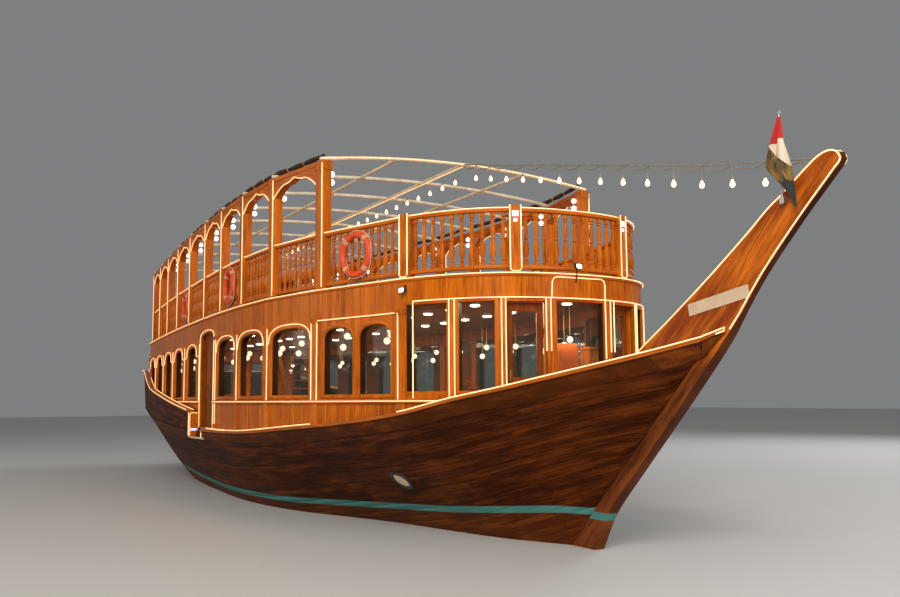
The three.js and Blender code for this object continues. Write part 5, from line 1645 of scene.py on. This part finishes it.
def house_lights():
    """Arches, the deck's edge, the sill, the posts' edges, and the uprights and frames of the bowed front."""
    piece = Piece("house_lights")
    for o in OPENINGS:
        if o.kind == "door":
            led_outline(piece, o.outline(), 0.052, ARCH_OUT, False)
        if o.kind == "window":
            bay = np.searchsorted(BAY_EDGES, o.middle)
            head = moved_out(o.outline()[1:-1], 0.050, False)
            foot = o.spring - 0.03
            ends = [[BAY_EDGES[bay - 1] + PILASTER_HALF, foot]], [[BAY_EDGES[bay] - PILASTER_HALF, foot]]
            led_outline(piece, np.concatenate([ends[0], head, ends[1]]), 0.0, ARCH_OUT, False)
    led_along(piece, run(0.05, LENGTH - 0.05), 0.090, DECK_TOP - 0.010)
    for s0, s1 in clear_stretches(("door", "front_door"), 0.05, LENGTH - 0.05, 0.09):
        led_along(piece, run(s0, s1), SILL_OUT, SILL_Z)
    corner = front_s(-CORNER_Y) - 0.04
    for turned in (False, True):
        def place(s, turned=turned):
            return LENGTH - s if turned else s
        for s in S_POST[1:]:
            upright(piece, place(s + PILASTER_HALF), FRONT_OUT, SILL_Z, PILASTER_TOP)
        upright(piece, place(S_POST[-1] - PILASTER_HALF), FRONT_OUT, SILL_Z, PILASTER_TOP)
        upright(piece, place(corner), FRONT_OUT, SILL_Z, CORNER_HEAD_Z)
        led_along(piece, place(run(S_POST[-1] + PILASTER_HALF, corner)), FRONT_OUT, CORNER_HEAD_Z)
        upright(piece, place(S_POST[DOOR_POST + 1] + PILASTER_HALF), FRONT_OUT, 1.62, SILL_Z)
        for y, z0, z1 in FRONT_UPRIGHTS:
            upright(piece, place(front_s(-y)), FRONT_OUT, z0, z1)
    led_along(piece, run(front_s(-2.015), front_s(2.015)), FRONT_OUT, FRONT_HEAD_Z)
    frame_s = np.array([front_s(y) for y in CENTRE_FRAME[:, 0]])
    led(piece, HOUSE_LINE.put(frame_s, 0.086, CENTRE_FRAME[:, 1]))
    piece.make(LED, "saloon_glass")


house_lights()

# %% [markdown]
# The lights of the upper deck and of the hull follow the rails, arches and caps in the same way.
# Each path repeats the line of the timber under it a few millimetres further out, so a change to
# the timber's line moves its light too.

# %% Rope lights of the deck and hull
GATE_FRAME = np.array([
    # x, y and z of the light round the board at the gate's after side
    [-2.075, 3.250, 1.33], [-2.075, 3.250, 1.80], [-2.075, 3.225, 1.825],
    [-2.075, 3.105, 1.825], [-2.075, 3.080, 1.80], [-2.075, 3.080, 1.40],
])
NEWEL_HALF_PIN = np.array([
    # share of the newel's half width, height
    [-1.0, NEWEL_TOP], [-1.0, 3.93], [-0.7, 3.895],
])


def deck_lights():
    """Handrails, arches, the posts' outer fore edges, the newels' edges, the fore roof arch, the crown."""
    piece = Piece("deck_lights")
    led_along(piece, run(0.12, LENGTH - 0.12), -0.030, RAIL_TOP - 0.004)
    bays = list(zip(S_POST, S_POST[1:]))
    share = np.linspace(0, 1, 41)
    for a, b in bays + [(LENGTH - b, LENGTH - a) for a, b in bays]:
        led_along(piece, a + 0.1 + (b - a - 0.2) * share, -0.004, ogee(share) - 0.004)
    for s in [*S_POST, *(LENGTH - S_POST)]:
        fore = 0.1 if s < LENGTH / 2 else -0.1
        upright(piece, s + fore, 0.014, DECK_TOP + 0.05, ROOF_EDGE - 0.05, 12)
    half_pin = NEWEL_HALF_PIN * [NEWEL_WIDE / 2, 1]
    hairpin = np.concatenate([half_pin, half_pin[::-1] * [-1, 1]])
    for s in NEWELS:
        led(piece, HOUSE_LINE.put(s + hairpin[:, 0], 0.004, hairpin[:, 1]))
    half = ROOF_HALF[-1]
    y = np.linspace(-half + 0.05, half - 0.05, 41)
    led(piece, np.stack([np.full(41, FIRST_POST_X + ARCH_R + 0.008), y, roof_height(half, y)], 1))
    crown = np.stack([ROOF_X, 0 * ROOF_X, roof_height(ROOF_HALF, 0.0) - PURLIN_R - 0.006], 1)
    led(piece, spaced(crown, 0.3))
    piece.make(LED, "saloon_glass")


def bow_cap_light(turn_under):
    """Along the bow cap's edge and its end at the stem, on one side turned back under the tip."""
    xs = side_run(6.75, 10.62)
    edge = np.stack([xs, line(HALF, xs) + CAP_OUT - 0.005, line(TOP, xs) + CAP_THICK + 0.006], 1)
    nose = NOSE_X[1:]
    end = np.stack([nose, nose_half(nose)[1] - 0.004, sheer(nose) + CAP_THICK + 0.006], 1)
    end[:, 0] -= 0.02 * np.linspace(0, 1, len(end))
    back = end[::-1][:4] + [0.0, 0.010, -0.040]
    return np.concatenate([edge, end, back] if turn_under else [edge, end[:-3]])


def gate_lights():
    """Up the after edge of the port gate, up its fore edge, along its sill, and round the board."""
    paths = [GATE_FRAME]
    for x, shift, top in ((GATE_AFT - 0.012, 0.024, bulwark_top(GATE_AFT)),
                          (GATE_FORE + 0.012, -0.024, line(TOP, GATE_FORE + 0.012) + 0.05)):
        z = np.linspace(GATE_SILL + 0.02, float(top), 8)
        paths.append(np.stack([np.full(8, x + shift), np.full(8, float(line(HALF, x)) + 0.035), z], 1))
    sill = side_run(GATE_AFT - 0.10, GATE_FORE + 0.02)
    z = np.full(len(sill), GATE_SILL)
    paths.append(np.stack([sill, hull_half(sill, z) + SKIN + 0.010, z], 1))
    return paths


def hull_lights():
    """Along the house's foot, the caps of bow and stern, round the gates, up the prow and stern corners."""
    piece = Piece("hull_lights")
    for side in (-1, 1):
        flip = np.array([1, side, 1])
        xs = side_run(GATE_FORE + 0.05, 4.48)
        foot = np.stack([xs, house_half(xs) + 0.115, line(TOP, xs) + CAP_THICK + 0.012], 1)
        for r, reach in ((LED_R, len(xs)), (1.5 * LED_R, len(xs) // 3)):
            add_tube(piece, foot[:reach] * flip, r, 6)
        led(piece, bow_cap_light(turn_under=side < 0) * flip)
        for path in gate_lights():
            led(piece, path * flip)
        for outline, away in ((FIN_EDGE[::-1], -0.020), (CUTWATER[8:], 0.020)):
            path = moved_out(eased(outline), away, False)
            path = np.insert(path, 1, side * (prow_half(path[:, 1]) + 0.005), axis=1)
            led(piece, spaced(path, 0.1))
        corner = np.linspace(1.92, bulwark_top(STERN_X) - 0.02, 9)
        x = raked(STERN_X, corner) - 0.012
        led(piece, np.stack([x, side * (topside_half(STERN_X, corner) + 0.012), corner], 1))
    for out in (CAP_OUT + 0.006, -0.100):
        led(piece, spaced(stern_path(out, lift=CAP_THICK + 0.004), 0.1))
    piece.make(LED, "saloon_glass")


deck_lights()
hull_lights()

# %% [markdown]
# Lamps come next: small globes in pairs on the posts, a bare bulb every half metre on the wire
# that runs down to the prow, and floodlights under the deck's edge. The wire is two thin cables:
# the upper one is taut from the roof to the prow, and the lower one sags between the bulbs.

# %% Lamps and the wire of bulbs
GLOBE = np.array([
    # height over the middle, radius
    [-0.05, 0.006], [-0.045, 0.022], [-0.028, 0.041], [0.0, 0.05], [0.028, 0.041], [0.045, 0.022],
    [0.05, 0.006],
])
BULB_SHAPE = np.array([
    # height under the wire, radius
    [-0.275, 0.004], [-0.268, 0.022], [-0.243, 0.034], [-0.215, 0.029], [-0.193, 0.016], [-0.175, 0.014],
])
CAP_SHAPE = np.array([[-0.180, 0.018], [-0.140, 0.018], [-0.130, 0.006], [0.004, 0.006]])
WIRE = np.array([[4.56, 6.262], [5.79, 5.98], [8.54, 5.37], [10.56, 4.91], [12.235, 4.615]])
BULB_APART, LAST_BULB_X = 0.505, 12.05
FLOOD_Z = 3.68


def post_lamps():
    globes, arms = Piece("post_lamps"), Piece("post_lamp_arms")
    for s in list(S_POST[1:]) + [LENGTH - s for s in S_POST[1:]]:
        for z in (5.71, 5.85):
            place = HOUSE_LINE.put(s, DECK_RAIL_IN - 0.17, z)
            add_turned(globes, place[:2], z, GLOBE, 12)
            add_tube(arms, HOUSE_LINE.put(s, DECK_RAIL_IN - np.array([0.08, 0.10, 0.135]), z), 0.012, 6)
    globes.make(LANTERN, "saloon_glass", crease=80)
    arms.make(BRASS, "bronze")


def bulb_wire():
    xs = np.linspace(WIRE[0, 0], WIRE[-1, 0], 141)
    smooth_z = np.interp(xs, WIRE[:, 0], WIRE[:, 1])
    along = LAST_BULB_X - xs
    sag = 0.05 * np.abs(np.sin(along * math.pi / BULB_APART))
    wire_piece = Piece("bulb_wire")
    add_tube(wire_piece, np.stack([xs, 0 * xs, smooth_z], 1), 0.011, 6)
    add_tube(wire_piece, np.stack([xs, 0 * xs + 0.012, smooth_z - 0.018 - sag], 1), 0.008, 6)
    bulbs, caps = Piece("wire_bulbs"), Piece("wire_bulb_caps")
    wire_x = np.arange(LAST_BULB_X, WIRE[0, 0] + 0.3, -BULB_APART)
    roof_x = np.arange(LAST_POST_X + 0.4, FIRST_POST_X, BULB_APART)
    places = [(x, np.interp(x, xs, smooth_z) - 0.01) for x in wire_x]
    places += [(x, roof_height(1.0, 0.0) - ARCH_R - 0.01) for x in roof_x]
    for x, z in places:
        add_turned(bulbs, (x, 0.0), z, BULB_SHAPE, 10)
        add_turned(caps, (x, 0.0), z, CAP_SHAPE, 8)
    wire_piece.make(CABLE, "steel", replaces=("festoon_wire",))
    bulbs.make(BULB, "saloon_glass", crease=80)
    caps.make(CABLE, "steel")


def floodlights():
    """Small square heads on the fascia under the deck's edge, tilted down, each on a bracket."""
    bodies, faces = Piece("floodlight_bodies"), Piece("floodlight_lenses")
    for s, lift in ((front_s(-2.08), 0.0), (LENGTH - front_s(-2.08), 0.0), (front_s(-0.10), 0.29)):
        for piece, out, deep, size in ((bodies, 0.13, 0.05, 0.050), (faces, 0.160, 0.006, 0.040)):
            ring = rounded(2 * size, 2 * size * 0.8, 0.012)
            z = FLOOD_Z + lift + ring[:, 1]
            rings = np.stack([HOUSE_LINE.put(s + ring[:, 0], face - 0.35 * ring[:, 1], z)
                              for face in (out - deep / 2, out + deep / 2)])
            piece.loop(rings, length_uv(rings, girth(ring)))
        bracket = HOUSE_LINE.put(s, np.array([0.04, 0.075, 0.11]), np.array([3.76, 3.75, 3.70 + lift]))
        add_tube(bodies, bracket, 0.012, 6)
    bodies.make(BLACK, "steel")
    faces.make(LANTERN, "saloon_glass")


def newel_lamps():
    """A blue lamp on the outer face of each newel near the bow, under its cap."""
    piece = Piece("newel_lamps")
    for s in NEWELS[1:3]:
        for z, r in ((4.725, 0.040), (4.63, 0.024)):
            ring = rounded(2.4 * r, 0.016, 0.005)
            rings = HOUSE_LINE.put(s + ring[:, :1].T, ring[:, 1] + DECK_RAIL_IN + NEWEL_WIDE / 2 + 0.006,
                                   np.array([[z - r], [z + r]]))
            piece.loop(rings, length_uv(rings, girth(ring)))
    piece.make(LED_BLUE, "saloon_glass")


def pendants():
    """Pairs of glass globes hung on thin rods near the saloon's windows."""
    globes, rods = Piece("pendant_globes"), Piece("pendant_rods")
    for k, x in enumerate(np.arange(-9.8, 5.9, 1.15)):
        for side in (-1, 1):
            y = side * min(2.05, float(house_half(x)) - 0.75)
            for dx, z in ((-0.09, 2.98 + 0.05 * (k % 2)), (0.09, 3.16 - 0.04 * (k % 2))):
                add_turned(globes, (x + dx, y), z, GLOBE * 1.15, 12)
                add_tube(rods, [[x + dx, y, z + 0.07], [x + dx, y, 3.699]], 0.006, 6)
    globes.make(PENDANT, "saloon_glass", crease=80)
    rods.make(BRASS, "bronze")


post_lamps()
bulb_wire()
floodlights()
newel_lamps()
pendants()

# %% [markdown]
# The doors are plain leaves in the frame, so each gets raised panels, a handle, and glass in its
# light. A leaf is a flat board, so a place on it is a distance from its post along the leaf, a
# distance out and a height. These pieces ride on the doors and swing with them.

# %% Fittings of the doors
DOORS = (
    # name, corner post, next post, outer face, panels, glass, handle's place along the leaf;
    # a panel or the glass is from u0 to u1 along the leaf and from z0 to z1
    ("saloon_door", (-1.98, -3.0259), (-0.36, -3.0891), -0.0250,
     ((0.33, 0.77, 1.70, 2.30), (0.84, 1.27, 1.70, 2.30), (0.33, 0.77, 2.42, 3.15), (0.84, 1.27, 2.42, 3.15)),
     None, 1.34),
    ("front_door", (float(house_front(1.17)), -1.17), (float(house_front(0.5)), -0.5), -0.0450,
     ((0.175, 0.527, 1.80, 2.27),), (0.178, 0.524, 2.388, 3.317), 0.130),
    ("aft_door", (-11.33, 0.0), (-11.33, -1.0), 0.0,
     ((-0.32, 0.33, 1.70, 2.17),), (-0.321, 0.327, 2.293, 3.217), 0.375),
)
LEAF, PANEL_THICK = 0.04, 0.006
HANDLE = (
    # distance out of the leaf, height
    (0.001, 2.30), (0.026, 2.31), (0.030, 2.34), (0.030, 2.44), (0.026, 2.47), (0.001, 2.48),
)


def door_block(piece, leaf, u0, u1, out0, out1, z0, z1, tone=0.5):
    """A thin block on a leaf, its long sides eased. A leaf is its start, its direction and the way out."""
    start, along, away = leaf
    ring = rounded(u1 - u0, out1 - out0, min(0.004, (out1 - out0) / 3))
    u, out = (u0 + u1) / 2 + ring[:, 0], (out0 + out1) / 2 + ring[:, 1]
    plan = start + u[:, None] * along + out[:, None] * away
    rings = np.stack([np.insert(plan, 2, z, axis=1) for z in (z0, z1)])
    piece.loop(rings, length_uv(rings, girth(ring))[..., ::-1], tone=tone)


def fit_door(door, leaf, face, panels, light, grip):
    """Panels on both faces of a leaf, a handle on its outer one, and glass inside its light."""
    start, along, away = leaf
    raised, handle = Piece(door + "_panels"), Piece(door + "_handle")
    for k, (u0, u1, z0, z1) in enumerate(panels):
        for out0 in (face + 0.0003, face - LEAF - PANEL_THICK - 0.0003):
            door_block(raised, leaf, u0, u1, out0, out0 + PANEL_THICK, z0, z1, k * 0.3)
    raised.make(DOOR_PANEL, "house_varnish", body=door)
    add_tube(handle, [[*(start + grip * along + (face + out) * away), z] for out, z in HANDLE], 0.007, 8)
    handle.make(BRASS, "bronze", body=door)
    if light:
        pane = Piece(door + "_glass")
        u0, u1, z0, z1 = light
        door_block(pane, leaf, u0, u1, face - 0.022, face - 0.018, z0, z1)
        pane.make(GLASS, "saloon_glass", body=door)


def door_fittings():
    for kind, corner_post, next_post, *fittings in DOORS:
        sides = ((1, ""),) if kind == "aft_door" else ((1, "_starboard"), (-1, "_port"))
        for flip, side in sides:
            start, end = (np.array(post) * [1, flip] for post in (corner_post, next_post))
            along = (end - start) / np.linalg.norm(end - start)
            fit_door(kind + side, (start, along, flip * np.array([along[1], -along[0]])), *fittings)


door_fittings()

# %% [markdown]
# Through the bow's middle pane shows a padded seat beside a cabinet. The back and the cushion are
# blocks with big round corners, which a cushion's filled cover takes on.

# %% Helm seat and cabinet
SEAT_X, SEAT_Y = 6.60, 0.86
SALOON_FLOOR = 1.2308
CABINET_X, CABINET_Y, CABINET_TOP = 6.46, 1.52, 2.88


def cushion(name, centre, size, r):
    """Rings of a rounded rectangle, drawn in towards both ends as a quarter circle."""
    turn = np.linspace(0, math.pi, 9)
    rings = []
    for a in turn:
        shrink = 2 * r * (1 - math.sin(a))
        ring = rounded(size[0] - shrink, size[1] - shrink, min(size[:2]) * 0.22, 5)
        z = centre[2] - math.cos(a) * size[2] / 2
        rings.append(level_ring(ring, centre[0], centre[1], z))
    rings = np.stack(rings)
    piece = Piece(name)
    piece.loop(rings, length_uv(rings, girth(ring)))
    made = piece.make(LEATHER, "seat_paint", crease=60)


def helm_seat():
    cushion("helm_seat_cushion", (SEAT_X, SEAT_Y, 2.03), (0.44, 0.44, 0.12), 0.03)
    cushion("helm_seat_back", (SEAT_X - 0.20, SEAT_Y, 2.54), (0.11, 0.42, 0.86), 0.03)
    stand = Piece("helm_seat_stand")
    profile = np.array([[0.0, 0.20], [0.03, 0.20], [0.05, 0.05], [0.60, 0.04], [0.72, 0.05], [0.738, 0.16]])
    add_turned(stand, (SEAT_X, SEAT_Y), SALOON_FLOOR, profile, 16)
    stand.make(STEEL, "steel")
    cabinet = Piece("helm_cabinet")
    middle, tall = (SALOON_FLOOR + CABINET_TOP) / 2, CABINET_TOP - SALOON_FLOOR
    boxed(cabinet, (CABINET_X, CABINET_Y, middle), (0.26, 0.70, tall), 0.012)
    boxed(cabinet, (CABINET_X, CABINET_Y, CABINET_TOP + 0.0155), (0.29, 0.73, 0.03), 0.012, 0.9)
    cabinet.make(RAIL, "house_varnish")


helm_seat()

# %% [markdown]
# Each lifebuoy is a ring of hard foam, 0.75 m across, with four bands, and a grab rope that runs
# round it in four loops. The ring is a circle carried round a circle. The rope lies furthest from
# the middle at the bands and dips between them as a sine does.

# %% Lifebuoys
BUOY_PLACES = {"1": 5.40, "2": 0.40, "3": -4.33}
BUOY_MIDDLE, BUOY_TUBE, BUOY_Z = 0.32, 0.055, 4.36
BUOY_OUT = DECK_RAIL_IN + 0.0225 + GAP + BUOY_TUBE


def around_ring(s, radius, out, a):
    return HOUSE_LINE.put(s + radius * np.cos(a), out, BUOY_Z + radius * np.sin(a))


def ring_arc(piece, s, r, a0, a1, steps, closed):
    a = np.linspace(a0, a1, steps, endpoint=not closed)
    b = np.linspace(0, 2 * math.pi, 16, endpoint=False)
    radius, out = BUOY_MIDDLE + r * np.cos(b)[None, :], BUOY_OUT + r * np.sin(b)[None, :]
    rings = around_ring(s, radius, out, a[:, None])
    piece.loop(rings, length_uv(rings, np.linspace(0, 0.35, 16)), wrap=closed)


def lifebuoys():
    bands, ropes = Piece("lifebuoy_bands"), Piece("lifebuoy_ropes")
    for side in ("starboard", "port"):
        for number, x in BUOY_PLACES.items():
            s = side_s(x) if side == "starboard" else LENGTH - side_s(x)
            ring = Piece(f"lifebuoy_ring_{side}_{number}")
            ring_arc(ring, s, BUOY_TUBE, 0, 2 * math.pi, 48, True)
            ring.make(BUOY, "buoy_orange", replaces=(f"lifebuoy_{side}_{number}",))
            for k in range(4):
                middle = math.pi / 4 + k * math.pi / 2
                ring_arc(bands, s, BUOY_TUBE + 0.003, middle - 0.11, middle + 0.11, 6, False)
            a = np.linspace(0, 2 * math.pi, 96, endpoint=False)
            radius = BUOY_MIDDLE + BUOY_TUBE + 0.012 - 0.006 * np.abs(np.sin(2 * (a + math.pi / 4)))
            out = BUOY_OUT + 0.012 * np.cos(4 * a)
            add_tube(ropes, around_ring(s, radius, out, a), 0.006, 6, closed=True)
    bands.make(BUOY_BAND, "buoy_orange")
    ropes.make(ROPE, "buoy_orange")


lifebuoys()

# %% [markdown]
# The flag hangs limp from its staff beside the prow's head. The fly end has dropped, so the stripes
# hang nearly upright in soft folds. The sheet is computed: one number runs down the drape and the
# other across it, and the folds are sines that fade at its top and its tip.

# %% Flag
FLAG_Y = -0.115
FLAG_EDGES = np.array([
    # share down the drape, left edge's x and z, right edge's x and z
    [0.00, 11.872, 5.150, 11.925, 5.145],
    [0.12, 11.845, 5.060, 11.930, 5.040],
    [0.30, 11.795, 4.925, 11.935, 4.870],
    [0.45, 11.735, 4.760, 11.985, 4.735],
    [0.58, 11.700, 4.600, 12.030, 4.600],
    [0.68, 11.760, 4.520, 12.055, 4.490],
    [0.80, 11.900, 4.380, 12.075, 4.370],
    [0.90, 12.000, 4.250, 12.085, 4.260],
    [1.00, 12.050, 4.120, 12.095, 4.110],
])


def flag_points(across=28, down=60):
    """The drape lies between two edges. Its folds are sines that fade towards the staff's top and the tip."""
    u, v = np.meshgrid(np.linspace(0, 1, down), np.linspace(0, 1, across), indexing="ij")
    x0, z0, x1, z1 = (np.interp(u, FLAG_EDGES[:, 0], FLAG_EDGES[:, k]) for k in range(1, 5))
    fold = np.sin(2 * math.pi * (1.6 * v + 0.5 * u)) * np.sin(math.pi * u) ** 0.7
    y = FLAG_Y - 0.02 - 0.022 * fold
    return np.stack([x0 + (x1 - x0) * v, y, z0 + (z1 - z0) * v + 0.012 * fold], -1), u, v


def flag_finish():
    """Red, pale and two dark fields slant across the drape as a hanging flag's stripes do; olive patches are
    painted highlight.
    """
    f = Finish("flag_cloth")
    down, across, _ = f.parts(f.uv())
    weave = ((down * 900.0).fract() - 0.5).size() + ((across * 600.0).fract() - 0.5).size()
    # Noise that places olive patches of painted highlight on the upper dark field.
    worn = f.noise(f.uv(), 5.0, 4.0)
    black_with_highlight = f.mix(worn.ramp(0.35, 0.7), (0.035, 0.022, 0.006), (0.30, 0.17, 0.035))
    colour = f.mix(down.below(0.76), (0.022, 0.030, 0.020), black_with_highlight)
    colour = f.mix((down - across * 0.22).below(0.385), colour, (0.72, 0.60, 0.46))
    colour = f.mix((down + across * 0.12).below(0.375), colour, (0.50, 0.016, 0.012))
    return f.surface(Base_Color=colour, Roughness=0.9, Sheen_Weight=0.15, Normal=f.bump(weave, 0.0006, 0.4))


def flag():
    points, u, v = flag_points()
    slope_u, slope_v = np.gradient(points, axis=0), np.gradient(points, axis=1)
    normal = np.cross(slope_u, slope_v)
    normal /= np.linalg.norm(normal, axis=-1, keepdims=True)
    piece = Piece("hanging_flag")
    piece.plate(points + normal * 0.0008, points - normal * 0.0008, np.stack([u, v], -1))
    made = piece.make(flag_finish(), "flag_cloth", replaces=("flag",), crease=80)


flag()

# %% [markdown]
# The propeller's blades are thin twisted leaves. The pitch angle falls from the hub to the tip,
# because the tip goes further round in each turn, and the outline is a rounded oval. Each blade is
# a grid of radius by share of the chord, thick in the middle and thin at its edges.

# %% Propeller
PROP_X, PROP_Z, PROP_R, HUB_R = -10.47, -0.86, 0.40, 0.075
PITCH = 0.52
HUB_PARTS = tuple(np.array(rows) for rows in (
    # place along the shaft and radius, of the hub, its collar and the shaft
    [[-0.16, 0.012], [-0.145, 0.035], [-0.10, 0.058], [-0.05, 0.070], [0.03, 0.076], [0.0995, 0.072]],
    [[0.0995, 0.060], [0.1296, 0.060]],
    [[0.09, 0.035], [0.40, 0.035]],
))


def propeller():
    """At radius r the chord turns about the radius by the arctangent of pitch over 2 pi r."""
    piece = Piece("propeller_cast")
    r = np.linspace(HUB_R - 0.02, PROP_R, 22)
    share = np.linspace(-1, 1, 15)
    t = (r - r[0]) / (r[-1] - r[0])
    chord = 0.115 * np.sqrt(np.clip(1 - (2 * t * 0.93 - 0.86) ** 2, 0.02, 1))[:, None] * share[None, :]
    turn = np.arctan(PITCH / (2 * math.pi * r))[:, None]
    thick = (0.012 * (1 - 0.8 * t))[:, None] * np.sqrt(np.clip(1 - share**2, 0, 1))[None, :]
    for k in range(4):
        swing = k * math.pi / 2 + (chord * np.cos(turn)) / r[:, None]
        faces = []
        for side in (1, -1):
            x = PROP_X + chord * np.sin(turn) + side * thick * np.cos(turn)
            angle = swing - side * thick * np.sin(turn) / r[:, None]
            y, z = -r[:, None] * np.sin(angle), PROP_Z + r[:, None] * np.cos(angle)
            faces.append(np.stack([x, y, z], -1))
        uv = np.stack(np.broadcast_arrays(r[:, None], 0.1 * share[None, :]), -1)
        piece.plate(faces[0], faces[1], uv)
    angle = np.linspace(0, 2 * math.pi, 28, endpoint=False)
    for rows in HUB_PARTS:
        x, wide = PROP_X + rows[:, :1] + 0 * angle, rows[:, 1:]
        rings = np.stack([x, wide * np.cos(angle), PROP_Z + wide * np.sin(angle)], -1)
        piece.loop(rings, length_uv(rings, np.linspace(0, 0.4, 28)))
    piece.make(BRONZE, "bronze", body="propeller", replaces=("propeller",), crease=50)


propeller()

# %% [markdown]
# The frame's own nodes keep their shapes and take finishes from the same recipes. A table pairs
# each finish with its nodes, and every node's single material is put in its mesh.

# %% Finishes of the frame's nodes
NODE_FINISH = (
    (DARK_CAD, ("hull", "topsides", "keel", "rudder")),
    (HOUSE_CAD, ("house_wall_starboard", "house_wall_port", "house_wall_front", "house_wall_aft",
                 "stair_guard", "helm_console", "bow_bitts", "stern_bitts")),
    (DOOR_WOOD, ("saloon_door_starboard", "saloon_door_port", "front_door_starboard", "front_door_port",
                 "aft_door")),
    (DECK, ("saloon_floor", "upper_deck")),
    (FURNITURE, ("saloon_tables_starboard", "saloon_tables_port", "stair")),
    (GLASS, ("side_glass_starboard_fore", "side_glass_port_fore", "side_glass_starboard_aft",
             "side_glass_port_aft", "front_glass_starboard", "front_glass_port", "front_glass_centre",
             "aft_glass_starboard", "aft_glass_port")),
    (SEAT, ("deck_bench_starboard", "deck_bench_port")),
    (CREAM, ("name_board_starboard", "name_board_port")),
    (STEEL, ("flag_staff",)),
    (ENGINE, ("engine_block",)),
)
for finish, names in NODE_FINISH:
    for name in names:
        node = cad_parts[name]
        node.data.materials.clear()
        node.data.materials.append(finish)

# %% [markdown]
# The saloon's downlights are shallow discs just under the deck, in three rows. A disc is a profile
# of heights and radii spun like a baluster, and the loop leaves out those that nothing would carry.

# %% Downlights
STAIR_AFT, STAIR_FORE = -7.95, -6.2
DOWNLIGHT_SHAPE = np.array([[3.672, 0.055], [3.680, 0.085], [3.6985, 0.085]])


def downlights():
    """Rows of discs under the deck, with none over the stair's opening or outside the bowed front."""
    piece = Piece("saloon_downlights")
    for x in np.arange(-10.4, 7.2, 0.9):
        for y in (-1.3, 0.0, 1.3):
            over_stair = STAIR_AFT < x < STAIR_FORE and y > 0.7
            if (abs(y) < 0.1 or x < 6.2) and not over_stair:
                add_turned(piece, (x, y), 0, DOWNLIGHT_SHAPE, 16)
    piece.make(DOWNLIGHT, "saloon_glass")


downlights()
